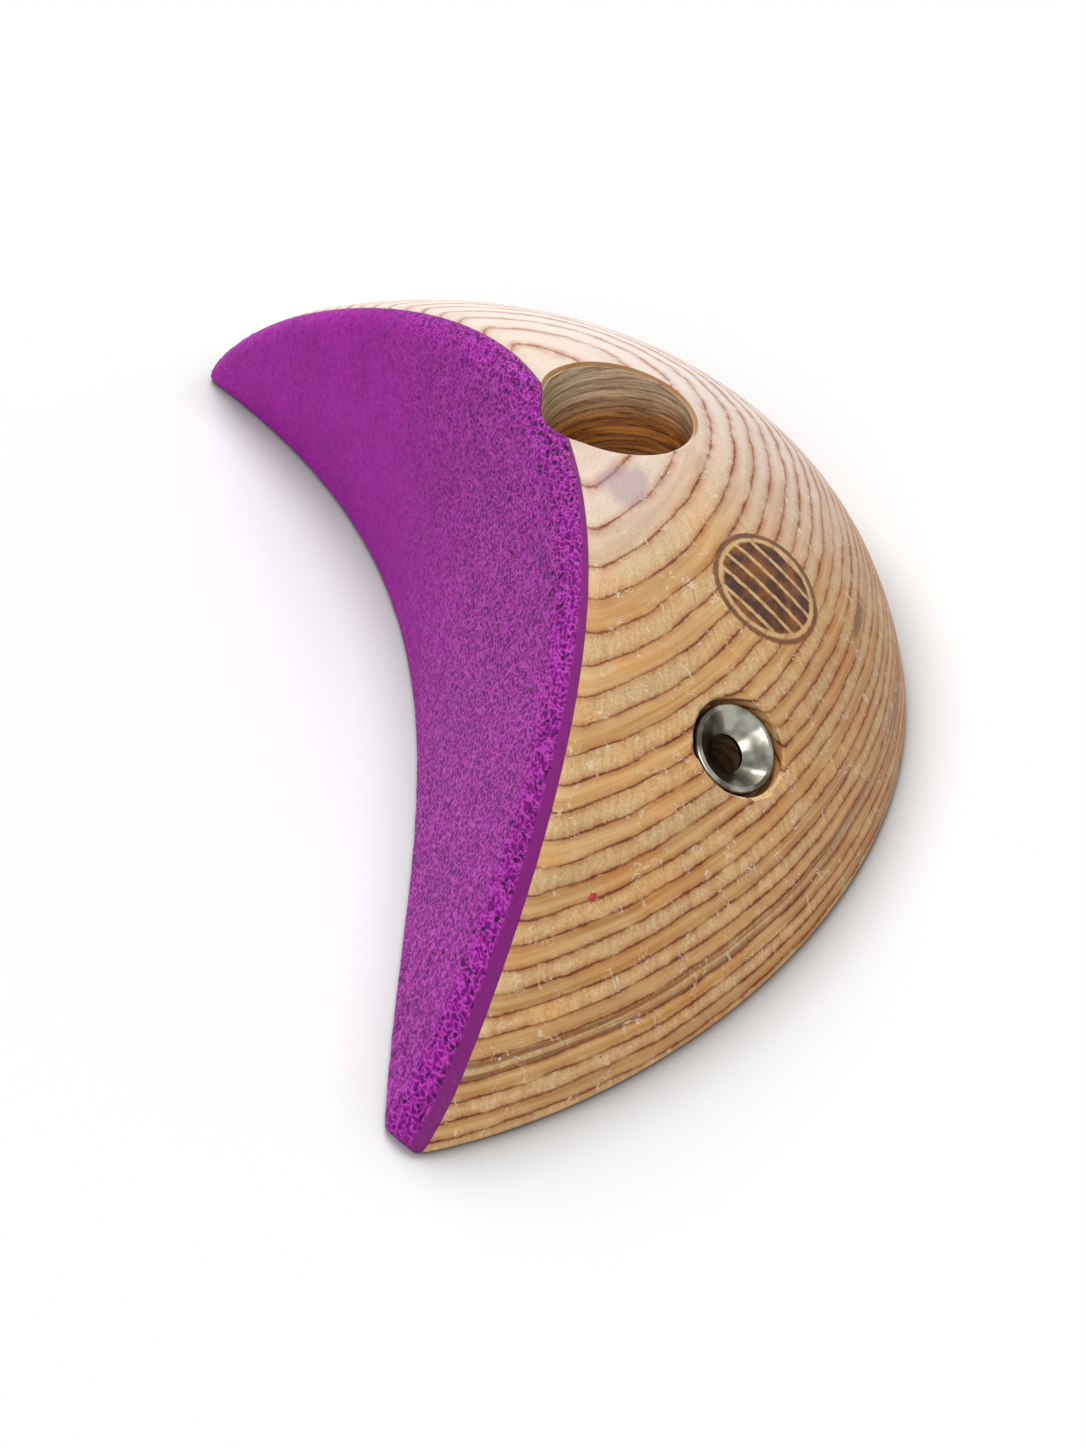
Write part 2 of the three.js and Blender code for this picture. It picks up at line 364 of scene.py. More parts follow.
        height = bisect(none, none + self.crest_height, under_dome)
        toe = face_out(none)
        heel = bisect(toe, farthest, within)
        corners = [(toe, none), (face_out(height), height), (heel, none)]
        return np.stack([np.stack(corner, -1) for corner in corners], 1)

    def section_middle(self, corners: Points) -> Points:
        """Point of each section that lies equally deep behind the chords of its three sides.

        Args:
            corners: The sections' corners.

        Returns:
            Distance out and height of each section's point.
        """
        sides = [np.linalg.norm(corners[:, i - 1] - corners[:, i - 2], axis=-1) for i in range(3)]
        weighted = sum(corners[:, i] * sides[i][:, None] for i in range(3))
        return weighted / sum(sides)[:, None]

    def middle_depth(self, angle: Points) -> Points:
        """How deep the middles of the sections at some angles lie in the blank."""
        middle = self.section_middle(self.section_corners(angle))
        return self.blank_depth(self.sweep_point(angle, middle[:, 0], middle[:, 1]))

    def surface(self, stations: int, columns: tuple[int, int, int], gather: float) -> tuple[Points, Points]:
        """The whole blank as rings of points, and the two poles that close it at the tips.

        Args:
            stations: How many steps run from tip to tip.
            columns: How many points lie on the face, the dome and the back of each ring.
            gather: How closely the points of a ring gather at its corners.

        Returns:
            Rings by columns of points, and the near and the far pole.
        """
        back = np.array([-math.pi / 2])
        sides = (-self.tip_search, self.tip_search)
        tips = [bisect(back, back + side, lambda a: self.middle_depth(a) > 0)[0] for side in sides]
        share = gathered(stations, self.station_gather)
        angle = tips[0] + (tips[1] - tips[0]) * np.append(share, 1.0)
        corners = self.section_corners(angle)
        middle = self.section_middle(corners)
        away = corners - middle[:, None]
        turn = np.arctan2(away[..., 1], -away[..., 0])
        turn[:, 2] += np.where(turn[:, 2] < turn[:, 1], 2 * np.pi, 0)
        turns = np.concatenate([turn, turn[:, :1] + 2 * np.pi], 1)
        place = np.concatenate([side + gathered(count, gather) for side, count in enumerate(columns)])
        side = place.astype(int)
        swing = turns[:, side] + (turns[:, side + 1] - turns[:, side]) * (place - side)
        inner = slice(1, stations)

        def along(distance: Points) -> Points:
            """Points in all the directions from the sections' middles.

            Args:
                distance: How far each of them lies.

            Returns:
                The points.
            """
            out = middle[inner, :1] - distance * np.cos(swing[inner])
            z = middle[inner, 1:] + distance * np.sin(swing[inner])
            return self.sweep_point(angle[inner, None], out, z)

        none = np.zeros_like(swing[inner])
        reach = bisect(none, none + self.belly_reach, lambda d: self.blank_depth(along(d)) > 0)
        poles = self.sweep_point(angle[[0, -1]], middle[[0, -1], 0], middle[[0, -1], 1])
        return along(reach), poles


@dataclass(frozen=True)
class Bore:
    """A round hole square to the wall or to the dome, with its own frame, in millimetres.

    Its bottom and top are heights in its own frame, one surely in the wood and one surely above it.
    """

    origin: Vector
    axis: Vector
    radius: float
    bottom: float
    top: float

    @property
    def frame(self) -> Matrix:
        """The matrix that turns the bore's own axes, with +Z outwards, into the blank's."""
        turn = self.axis.to_track_quat("Z", "Y").to_matrix().to_4x4()
        return Matrix.Translation(self.origin) @ turn

    def place(self, local: Points) -> Points:
        """Moves points from the bore's own axes into the blank's."""
        matrix = np.array(self.frame)
        return local @ matrix[:3, :3].T + matrix[:3, 3]

    def from_axis(self, add: Adder, place: Signal, offset: Vector) -> bpy.types.NodeSocket:
        """Adds the nodes that give how far a point is from the bore's axis.

        Args:
            add: What adds a node to the tree.
            place: Place of the point in millimetres.
            offset: What moves the blank's own axes into the model's frame.

        Returns:
            The distance in millimetres.
        """
        turn = self.frame.to_euler()
        local = add("ShaderNodeMapping", place, self.origin + offset, turn, vector_type="TEXTURE")
        flat = add("ShaderNodeVectorMath", local, (1, 1, 0), operation="MULTIPLY")
        return add("ShaderNodeVectorMath", flat, operation="LENGTH").outputs["Value"]


def closed_faces(rings: int, columns: int, poles: bool) -> list[tuple[int, ...]]:
    """Faces of a skin over rings of points, which are closed round.

    Args:
        rings: How many rings there are.
        columns: How many points each ring has.
        poles: Whether two last points close the ends. Otherwise the last ring joins the first.

    Returns:
        The faces, as tuples of point numbers.
    """
    faces: list[tuple[int, ...]] = []
    for r in range(rings - 1 if poles else rings):
        here, there = r * columns, (r + 1) % rings * columns
        for c in range(columns):
            d = (c + 1) % columns
            faces.append((here + c, here + d, there + d, there + c))
    if poles:
        near, far, end = rings * columns, rings * columns + 1, (rings - 1) * columns
        for c in range(columns):
            d = (c + 1) % columns
            faces.append((near, d, c))
            faces.append((far, end + c, end + d))
    return faces


def make_object(name: str, rings: Points, poles: Points | None = None) -> bpy.types.Object:
    """Makes a closed object from rings of points, with its faces outwards.

    Args:
        name: The object's name.
        rings: Rings by columns of points.
        poles: Two points that close the ends, or None for a skin that runs round into itself.

    Returns:
        The object, in the units of its points.
    """
    points = rings.reshape(-1, 3)
    if poles is not None:
        points = np.concatenate([points, poles])
    mesh = bpy.data.meshes.new(name)
    mesh.from_pydata(points.tolist(), [], closed_faces(*rings.shape[:2], poles is not None))
    mesh.update()
    corners = points[np.array([t.vertices[:] for t in mesh.loop_triangles])]
    volume = np.einsum("ij,ij->i", corners[:, 0], np.cross(corners[:, 1], corners[:, 2])).sum()
    if volume < 0:
        mesh.flip_normals()
    return new_object(name, mesh)


def evaluated_mesh(piece: bpy.types.Object) -> None:
    """Turns a piece's modifiers into its own plain mesh and takes them off.

    Args:
        piece: The piece.
    """
    bpy.context.view_layer.update()
    depsgraph = bpy.context.evaluated_depsgraph_get()
    mesh = bpy.data.meshes.new_from_object(piece.evaluated_get(depsgraph))
    mesh.name = piece.name
    piece.modifiers.clear()
    piece.data = mesh


def cut(piece: bpy.types.Object, cutter: bpy.types.Object, way: Cut) -> None:
    """Cuts a piece with a cutter, and removes the cutter.

    Args:
        piece: The object that is cut.
        cutter: The closed object that cuts it.
        way: Whether the shared part goes or stays.
    """
    modifier = piece.modifiers.new("cut", "BOOLEAN")
    modifier.operation = way.value
    modifier.solver = "MANIFOLD"
    modifier.object = cutter
    evaluated_mesh(piece)
    bpy.data.objects.remove(cutter)


def mesh_points(piece: bpy.types.Object) -> Points:
    """The points of a piece's mesh.

    Args:
        piece: The piece.

    Returns:
        The points, one in each row.
    """
    flat = np.empty(len(piece.data.vertices) * 3)
    piece.data.vertices.foreach_get("co", flat)
    return flat.reshape(-1, 3)


def set_attribute(piece: bpy.types.Object, name: str, values: Points) -> None:
    """Stores one number for each point of a piece."""
    attribute = piece.data.attributes.new(name, "FLOAT", "POINT")
    attribute.data.foreach_set("value", values.astype(np.float32))


def round_points(profile: Profile, segments: int) -> Points:
    """Turns a profile round +Z.

    Args:
        profile: Radii and heights.
        segments: How many directions there are.

    Returns:
        Directions by profile points, in an array of points.
    """
    radii, heights = np.array(profile).T
    angle = np.linspace(0, 2 * math.pi, segments, endpoint=False)[:, None]
    return np.stack([radii * np.cos(angle), radii * np.sin(angle), heights + 0 * angle], -1)


@dataclass(frozen=True)
class Drilling:
    """The holes through the blank, in millimetres."""

    shape: BlankShape
    bolt_shift: float = 4.0
    bolt_set_back: float = 47.8
    counterbore_radius: float = 11.0
    bolt_hole_radius: float = 5.5
    bolt_web: float = 20.0
    screw_shift: float = -49.9
    screw_set_back: float = 54.1
    screw_hole_radius: float = 2.9
    cup_radius: float = 6.3
    cup_height: float = 3.4
    cup_sink: float = 1.2
    cup_clearance: float = 0.75
    seat_gap: float = 0.3
    overrun: float = 8.0
    segments: int = 160

    @property
    def counterbore(self) -> Bore:
        """The deep round pocket for the wall bolt's head.

        Returns:
            The pocket, with its origin on the back.
        """
        origin, axis = Vector((self.bolt_shift, -self.bolt_set_back, 0)), Vector((0, 0, 1))
        top = self.shape.crest_height + self.overrun
        return Bore(origin, axis, self.counterbore_radius, self.bolt_web, top)

    @property
    def recess(self) -> Bore:
        """The recess that the cup washer sits in, square to the dome.

        Returns:
            The recess, with its origin on the dome.
        """
        column = np.array([self.screw_shift, -self.screw_set_back])

        def under_dome(z: Points) -> Points:
            """Whether a point over the screw's place is under the dome."""
            return self.shape.dome_level(np.array([*column, float(z)])) < 1

        height = float(bisect(np.array(0.0), np.array(self.shape.crest_height), under_dome))
        place = np.array([*column, height])
        outward = Vector(self.shape.slope(self.shape.dome_level, place)).normalized()
        radius = self.cup_radius + self.cup_clearance
        return Bore(Vector(place), outward, radius, -self.cup_sink, self.overrun)

    def bore_cutter(self, bore: Bore, profile: Profile) -> bpy.types.Object:
        """A turned cutter on a bore's axis.

        Args:
            bore: The bore whose frame it stands in.
            profile: Radii and heights from the bottom to the top.

        Returns:
            The closed cutter.
        """
        rings = np.swapaxes(round_points(profile, self.segments), 0, 1)
        poles = np.array([[0, 0, profile[0][1]], [0, 0, profile[-1][1]]])
        return make_object("cutter", bore.place(rings), bore.place(poles))

    def bolt_cutter(self) -> bpy.types.Object:
        """The counterbore and the bolt hole under it.

        Returns:
            The closed cutter.
        """
        hole, bore, floor = self.bolt_hole_radius, self.counterbore, self.bolt_web
        profile = [(hole, -self.overrun), (hole, floor), (bore.radius, floor), (bore.radius, bore.top)]
        return self.bore_cutter(bore, profile)

    def screw_cutter(self) -> bpy.types.Object:
        """The washer's recess and the slanted screw hole under it.

        Returns:
            The closed cutter.
        """
        hole, bore = self.screw_hole_radius, self.recess
        floor = -self.cup_sink - self.cup_height - self.seat_gap
        length = (bore.origin.z + self.overrun) / bore.axis.z
        profile = [(hole, -length), (hole, floor), (bore.radius, floor), (bore.radius, bore.top)]
        return self.bore_cutter(bore, profile)

    def rim_cutter(self, bore: Bore, width: float, chips: Callable[[Points], Points]) -> bpy.types.Object:
        """A ring that breaks the edge where a bore leaves the dome.

        Args:
            bore: The bore.
            width: Width of the broken edge.
            chips: Extra width for each direction round the bore, where the edge is chipped.

        Returns:
            The closed cutter.
        """
        angle = np.linspace(0, 2 * math.pi, self.segments, endpoint=False)
        bottom, top = np.full_like(angle, bore.bottom), np.full_like(angle, bore.top)

        def on_surface(radius: Points) -> Points:
            """Radii, and the heights at which the blank's surface crosses them."""

            def inside(height: Points) -> Points:
                """Whether the wood reaches a height."""
                local = np.stack([radius * np.cos(angle), radius * np.sin(angle), height], -1)
                return self.shape.blank_depth(bore.place(local)) > 0

            return np.stack([radius, bisect(bottom, top, inside)], -1)

        broken = width + chips(angle)
        start = on_surface(np.full_like(angle, bore.radius))
        start[:, 1] -= broken
        end = on_surface(bore.radius + broken)
        over = (end - start) / 2
        low, high = start - over, end + over
        peak = np.stack([low[:, 0], high[:, 1] + width], -1)
        profile = np.stack([low, high, peak], 1)
        turn = np.stack([np.cos(angle), np.sin(angle)], -1)[:, None]
        rings = np.concatenate([profile[..., :1] * turn, profile[..., 1:]], -1)
        return make_object("cutter", bore.place(rings))


@dataclass(frozen=True)
class BurntMark:
    """A plain round mark of even bars in a ring, burnt into the dome. Millimetres, in the model's frame."""

    centre: Triple = (-27.7, -23.0, 30.0)
    outward: Triple = (-0.333, -0.491, 0.805)
    along: Triple = (-0.502, -0.631, -0.592)
    radius: float = 8.9
    ring: float = 0.9
    pale_ring: float = 0.7
    bar_pitch: float = 2.58
    bar_share: float = 0.78
    bar_shift: float = 0.65
    fray_scale: float = 1.1
    fray_out: float = 0.5
    fray_across: float = 0.45
    soft_out: float = 0.1
    soft_in: float = 0.15
    bar_soft_in: float = 0.12

    def burn(self, add: Adder, place: Signal) -> list[bpy.types.Node]:
        """Adds the nodes that say where the wood is burnt and where it was scraped pale again.

        Args:
            add: What adds a node to the plywood's tree.
            place: Place of the point in millimetres.

        Returns:
            Nodes that give 1 on the bars, on the ring, and on the ground inside it.
        """
        up = Vector(self.outward).normalized()
        along = (Vector(self.along) - up * up.dot(Vector(self.along))).normalized()
        turn = Matrix((along, up.cross(along), up)).transposed().to_euler()
        local = add("ShaderNodeMapping", place, self.centre, turn, vector_type="TEXTURE")
        flat = add("ShaderNodeSeparateXYZ", local).outputs
        fray = add("ShaderNodeTexNoise", place, self.fray_scale, 2.0)
        fray = add("ShaderNodeMath", fray, 0.5, operation="SUBTRACT")
        squared = add("ShaderNodeMath", flat["X"], flat["X"], operation="MULTIPLY")
        squared = add("ShaderNodeMath", flat["Y"], flat["Y"], squared, operation="MULTIPLY_ADD")
        out = add("ShaderNodeMath", squared, operation="SQRT")
        out = add("ShaderNodeMath", fray, self.fray_out, out, operation="MULTIPLY_ADD")
        across = add("ShaderNodeMath", fray, self.fray_across, flat["Y"], operation="MULTIPLY_ADD")
        across = add("ShaderNodeMath", across, self.bar_shift, operation="SUBTRACT")
        bar = add("ShaderNodeMath", across, self.bar_pitch / 2, operation="PINGPONG")
        half = self.bar_pitch / 2 * self.bar_share
        bar = add("ShaderNodeMapRange", bar, half + self.soft_out, half - self.bar_soft_in)
        inner = self.radius - self.ring - self.pale_ring
        disc = add("ShaderNodeMapRange", out, inner + self.soft_in, inner - self.soft_in)
        bar = add("ShaderNodeMath", bar, disc, operation="MULTIPLY")
        edge = add("ShaderNodeMath", out, self.radius - self.ring / 2, operation="SUBTRACT")
        edge = add("ShaderNodeMath", edge, operation="ABSOLUTE")
        rim = add("ShaderNodeMapRange", edge, self.ring / 2 + self.soft_out, self.ring / 2 - self.soft_in)
        ground = add("ShaderNodeMath", out, self.radius, operation="LESS_THAN")
        depth = add("ShaderNodeMath", flat["Z"], operation="ABSOLUTE")
        near = add("ShaderNodeMath", depth, self.radius / 2, operation="LESS_THAN")
        return [add("ShaderNodeMath", part, near, operation="MULTIPLY") for part in (bar, rim, ground)]


@dataclass(frozen=True)
class Grain:
    """What the nodes say about a point of the plywood. Each field after the first is a node or a socket.

    Attributes:
        add: What adds a node to the same tree.
        place: The point, in millimetres.
        x, y, z: Its parts.
        number: Number of its veneer.
        golden: 1 in the veneers of long grain, and 0 in those of cross grain.
        to_glue: Distance to the nearest glue line along the surface, in millimetres.
        turned: How far round the dome it is, in millimetres.
        sheet: Its place in its own veneer, whose pattern is like no other's.
        streaks: Noise of the long fibres.
        hatch: Noise of the fibre ends in the cross grain.
        fur: Fine noise.
        blotch: Broad noise.
    """

    add: Adder
    place: Signal
    x: Signal
    y: Signal
    z: Signal
    number: Signal
    golden: Signal
    to_glue: Signal
    turned: Signal
    sheet: Signal
    streaks: Signal
    hatch: Signal
    fur: Signal
    blotch: Signal


@dataclass(frozen=True)
class Plywood:
    """Sanded softwood plywood with a thin matt oil.

    The blank is cut from bonded veneers that lie along the back, so their edges show as level lines round
    the dome. Every other veneer runs crosswise: the long grain looks smooth and golden, and the cross grain
    looks pale and furry, with dark glue between them.

    Lengths are in millimetres. A stretch is how many cells of a noise lie in a millimetre, each way. A span
    is where something starts and ends, and a most is how much of it shows at the most.
    """

    ply_mm: float = 1.665
    waves: tuple[Pair, ...] = ((0.03, 0.6), (0.11, 0.5))
    least_slope: float = 0.1
    dome_axis: Pair = (2.7, -8.0)
    round_mm: float = 45.0
    veneer_shift: float = 7.3
    long_stretch: Triple = (0.045, 1.7, 1.0)
    cross_stretch: Triple = (1.9, 0.3, 1.0)
    fur_stretch: float = 2.6
    blotch_stretch: float = 0.09
    gold_deep: str = "#c59053"
    gold_light: str = "#ebc389"
    pale_deep: str = "#c8985f"
    pale_light: str = "#f3d19c"
    resinous: str = "#f9d3a6"
    resinous_most: float = 0.5
    least_tone: float = 0.69
    # Painted shade: the wood is painted darker across this span of y, towards the belly side.
    belly_shade_span: Pair = (-16.0, -46.0)
    belly_shade_tone: float = 0.76
    brown_ply: int = 4
    brown: str = "#6e4526"
    brown_most: float = 0.8
    # Painted highlight: the dome's upper side towards the lamps and its top veneer are painted paler.
    crest_highlight_tint: str = "#f2e9e6"
    crest_highlight_way: Triple = (1.0, -0.9, 0.9)
    crest_highlight_span: Pair = (36.0, 84.0)
    crest_highlight_most: float = 0.85
    crest_highlight_heights: Pair = (16.0, 32.0)
    top_highlight_heights: Pair = (36.5, 41.0)
    top_highlight_most: float = 0.5
    glue: str = "#6a2c0d"
    glue_mm: float = 0.34
    glue_run_stretch: Triple = (0.14, 0.3, 1.0)
    glue_dash_stretch: Triple = (0.8, 0.1, 1.0)
    dashed_span: Pair = (-24.0, -32.0)
    bleed: str = "#b0642c"
    bleed_mm: float = 1.6
    bleed_most: float = 0.95
    torn_light: str = "#fbe9cb"
    scratch_stretch: float = 0.5
    scratched_stretch: float = 0.41
    scratch_most: float = 0.55
    speck_light: str = "#fdf0da"
    speck_dark: str = "#6b3418"
    speck_sizes: Triple = (2.3, 0.5, 0.16)
    speck_light_share: float = 0.6
    speck_most: float = 0.85
    paint_sizes: Triple = (9.0, 0.55, 0.42)
    stain_red: str = "#b8282c"
    red_at: Triple = (-70.98, 9.4, 18.35)
    red_mm: Triple = (0.8, 0.6, 0.8)
    tar: str = "#5d3818"
    tar_at: Triple = (-23.98, -37.76, 19.43)
    tar_mm: Triple = (5.0, 4.6, 0.75)
    lilac: str = "#a98797"
    lilac_at: Triple = (-14.8, -6.0, 41.0)
    lilac_mm: Triple = (4.0, 4.0, 4.0)
    # Painted light and shade: the bore's wall and its gaps are painted lighter towards the mouth and darker
    # deeper down.
    wall_shaded_gap: str = "#663a12"
    wall_shaded_face: str = "#de964a"
    wall_lit_face: str = "#ffeaca"
    wall_lit_gap: str = "#d6a878"
    wall_stretch: Triple = (0.025, 0.9, 1.0)
    wall_lit_heights: Pair = (33.0, 39.0)
    wall_golden_tone: float = 0.82
    wall_glue_most: float = 0.85
    rim: str = "#b27c3c"
    rim_mm: float = 0.7
    rim_span: Pair = (-8.0, -4.0)
    rim_most: float = 0.85
    # Painted shade: the wood inside the screw hole is painted dark.
    hole: str = "#2e1a09"
    hole_shade_mm: float = 0.6
    hole_shade_most: float = 0.85
    scraped: str = "#dfb880"
    scraped_most: float = 0.55
    char: str = "#431d08"
    singed: str = "#5b2c10"
    scorch: str = "#8d5225"
    scorch_stretch: float = 0.3
    ring_most: float = 0.9
    grain_height: float = 0.12
    glue_height: float = -0.1
    scratch_height: float = 0.08
    burn_height: float = -0.25
    wall_height: float = 0.5
    roughness: float = 0.52
    specular: float = 0.35
    ior: float = 1.5

    def grain(self, add: Adder) -> Grain:
        """Adds the nodes that the rest of the finish starts from.

        Args:
            add: What adds a node to the material's tree.

        Returns:
            What they say about the point.
        """
        place = place_in_mm(add)
        axes = add("ShaderNodeSeparateXYZ", place).outputs

        # Veneers: their number, and how far along the surface the nearest glue line is.
        level = axes["Z"]
        for stretch, height in self.waves:
            wave = add("ShaderNodeTexNoise", place, stretch, 1.0)
            level = add("ShaderNodeMath", wave, height, level, operation="MULTIPLY_ADD")
        mean = sum(height for _, height in self.waves) / 2
        level = add("ShaderNodeMath", level, mean, operation="SUBTRACT")
        veneers = add("ShaderNodeMath", level, self.ply_mm, operation="DIVIDE")
        number = add("ShaderNodeMath", veneers, operation="FLOOR")
        golden = add("ShaderNodeMath", number, 2.0, operation="FLOORED_MODULO")
        upright = add("ShaderNodeSeparateXYZ", add("ShaderNodeNewGeometry").outputs["Normal"]).outputs["Z"]
        slope = add("ShaderNodeMath", upright, upright, operation="MULTIPLY")
        slope = add("ShaderNodeMath", 1.0, slope, operation="SUBTRACT")
        slope = add("ShaderNodeMath", slope, self.least_slope, operation="MAXIMUM")
        slope = add("ShaderNodeMath", slope, operation="SQRT")
        to_glue = add("ShaderNodeMath", veneers, 0.5, operation="PINGPONG")
        to_glue = add("ShaderNodeMath", to_glue, self.ply_mm, operation="MULTIPLY")
        to_glue = add("ShaderNodeMath", to_glue, slope, operation="DIVIDE")

        # Each veneer as a sheet of its own: how far round the dome, how far out, and which sheet.
        flat = add("ShaderNodeMapping", place, (*self.dome_axis, 0), vector_type="TEXTURE")
        flat = add("ShaderNodeVectorMath", flat, (1, -1, 0), operation="MULTIPLY")
        outward = add("ShaderNodeVectorMath", flat, operation="LENGTH").outputs["Value"]
        flat = add("ShaderNodeSeparateXYZ", flat).outputs
        turned = add("ShaderNodeMath", flat["X"], flat["Y"], operation="ARCTAN2")
        turned = add("ShaderNodeMath", turned, self.round_mm, operation="MULTIPLY")
        shift = add("ShaderNodeMath", number, self.veneer_shift, operation="MULTIPLY")
        sheet = add("ShaderNodeCombineXYZ", turned, outward, shift)

        # Long grain: fibres of 0.6 mm that run for tens of millimetres round the dome.
        along = add("ShaderNodeCombineXYZ", turned, level, shift)
        along = add("ShaderNodeMapping", along, named={"Scale": self.long_stretch})
        streaks = add("ShaderNodeTexNoise", along, 1.0, 4.0, 0.6, named={"Distortion": 0.25})
        # Cross grain: fibre ends of 0.5 mm, torn up the slope.
        cross = add("ShaderNodeMapping", sheet, named={"Scale": self.cross_stretch})
        hatch = add("ShaderNodeTexNoise", cross, 1.0, 3.0, 0.65)
        fur = add("ShaderNodeTexNoise", place, self.fur_stretch, 2.0, 0.6)
        blotch = add("ShaderNodeTexNoise", sheet, self.blotch_stretch, 3.0, 0.55)
        x, y, z = (axes[name] for name in "XYZ")
        veneer = (number, golden, to_glue, turned, sheet)
        return Grain(add, place, x, y, z, *veneer, streaks, hatch, fur, blotch)

    def bare(self, grain: Grain) -> bpy.types.Node:
        """Adds the nodes of the bare wood.

        Args:
            grain: What is known about the point.

        Returns:
            A node that gives its colour.
        """
        add = grain.add
        gold = add("ShaderNodeMapRange", grain.streaks, 0.32, 0.66)
        gold = add("ShaderNodeMix", gold, srgb(self.gold_deep), srgb(self.gold_light), data_type="RGBA")
        pale = add("ShaderNodeMath", grain.hatch, grain.fur, operation="ADD")
        pale = add("ShaderNodeMapRange", pale, 0.56, 1.3)
        pale = add("ShaderNodeMix", pale, srgb(self.pale_deep), srgb(self.pale_light), data_type="RGBA")
        wood = add("ShaderNodeMix", grain.golden, pale, gold, data_type="RGBA")
        sort = add("ShaderNodeTexWhiteNoise", grain.number, noise_dimensions="1D").outputs["Value"]
        tone = self.least_tone
        for noise, strength in ((sort, 0.14), (grain.blotch, 0.36), (grain.fur, 0.1)):
            tone = add("ShaderNodeMath", noise, strength, tone, operation="MULTIPLY_ADD")
        # Painted shade: the wood is painted darker towards the belly side, which faces away from the lamps.
        belly_painted_shade = add("ShaderNodeMapRange", grain.y, *self.belly_shade_span, 1.0, self.belly_shade_tone)
        tone = add("ShaderNodeMath", tone, belly_painted_shade, operation="MULTIPLY")
        wood = add("ShaderNodeMix", 1.0, wood, tone, data_type="RGBA", blend_type="MULTIPLY")
        # Resin in the wood turns some stretches warmer.
        warm = add("ShaderNodeMapRange", grain.blotch, 0.46, 0.66, 0.0, self.resinous_most)
        warmer = srgb(self.resinous)
        return add("ShaderNodeMix", warm, wood, warmer, data_type="RGBA", blend_type="MULTIPLY")

    def heartwood(self, grain: Grain) -> bpy.types.Node:
        """Adds the nodes of the one veneer near the back that was cut from brown heartwood.

        Args:
            grain: What is known about the point.

        Returns:
            A node that gives how brown it is.
        """
        brown = grain.add("ShaderNodeMath", grain.number, float(self.brown_ply), 0.1, operation="COMPARE")
        faded = grain.add("ShaderNodeMapRange", grain.streaks, 0.42, 0.56, 0.0, self.brown_most)
        return grain.add("ShaderNodeMath", brown, faded, operation="MULTIPLY")

    def crest_highlight(self, grain: Grain) -> bpy.types.Node:
        """Adds the nodes of the painted highlight high on the dome: paler colour on the side towards the
        lamps, most of all at the very top.

        Args:
            grain: What is known about the point.

        Returns:
            A node that gives how much of the painted highlight shows.
        """
        add = grain.add
        crest_highlight = add("ShaderNodeVectorMath", grain.place, self.crest_highlight_way, operation="DOT_PRODUCT")
        crest_highlight = add("ShaderNodeMath", grain.blotch, 24.0, crest_highlight.outputs["Value"], operation="MULTIPLY_ADD")
        crest_highlight = add("ShaderNodeMapRange", crest_highlight, *self.crest_highlight_span, 0.0, self.crest_highlight_most)
        high = add("ShaderNodeMath", grain.blotch, 8.0, grain.z, operation="MULTIPLY_ADD")
        high = add("ShaderNodeMapRange", high, *self.crest_highlight_heights)
        crest_highlight = add("ShaderNodeMath", crest_highlight, high, operation="MULTIPLY")
        top = add("ShaderNodeMapRange", grain.z, *self.top_highlight_heights, 0.0, self.top_highlight_most)
        return add("ShaderNodeMath", crest_highlight, top, operation="MAXIMUM")

    def glue_line(self, grain: Grain, crest_highlight: Signal) -> tuple[bpy.types.Node, bpy.types.Node]:
        """Adds the nodes of the glue: a thin dark line with torn edges that comes and goes.

        Args:
            grain: What is known about the point.
            crest_highlight: How much painted highlight lies there, which washes the glue line out.

        Returns:
            Nodes that give how much of the stain beside the line shows, and how much of the line.
        """
        add = grain.add
        torn = add("ShaderNodeMath", grain.hatch, 0.5, grain.to_glue, operation="MULTIPLY_ADD")
        torn = add("ShaderNodeMath", grain.fur, 0.25, torn, operation="MULTIPLY_ADD")
        torn = add("ShaderNodeMath", torn, 0.375, operation="SUBTRACT")
        run = add("ShaderNodeMapping", grain.sheet, named={"Scale": self.glue_run_stretch})
        run = add("ShaderNodeTexNoise", run, 1.0, 3.0, 0.6)
        strength = add("ShaderNodeMapRange", run, 0.36, 0.6, 0.2, 1.0)
        stain = add("ShaderNodeMapRange", torn, self.bleed_mm, 0.05)
        stain = add("ShaderNodeMath", stain, 2.0, operation="POWER")
        # Down the belly the glue shows as dashes between the sawn fibres.
        dash = add("ShaderNodeMapping", grain.sheet, named={"Scale": self.glue_dash_stretch})
        dash = add("ShaderNodeTexNoise", dash, 1.0, 2.0, 0.6)
        dash = add("ShaderNodeMapRange", dash, 0.42, 0.52, 0.25, 1.0)
        belly = add("ShaderNodeMapRange", grain.y, *self.dashed_span)
        dash = add("ShaderNodeMix", belly, 1.0, dash)
        line = add("ShaderNodeMapRange", torn, self.glue_mm * 0.7, self.glue_mm * 0.25)
        # Painted highlight: the glue line is painted fainter under the painted highlight.
        washed_by_highlight = add("ShaderNodeMapRange", crest_highlight, 0.1, 0.8, 1.0, 0.5)
        for weaker in (strength, self.bleed_most):
            stain = add("ShaderNodeMath", stain, weaker, operation="MULTIPLY")
        for weaker in (strength, dash, washed_by_highlight):
            line = add("ShaderNodeMath", line, weaker, operation="MULTIPLY")
        return stain, line

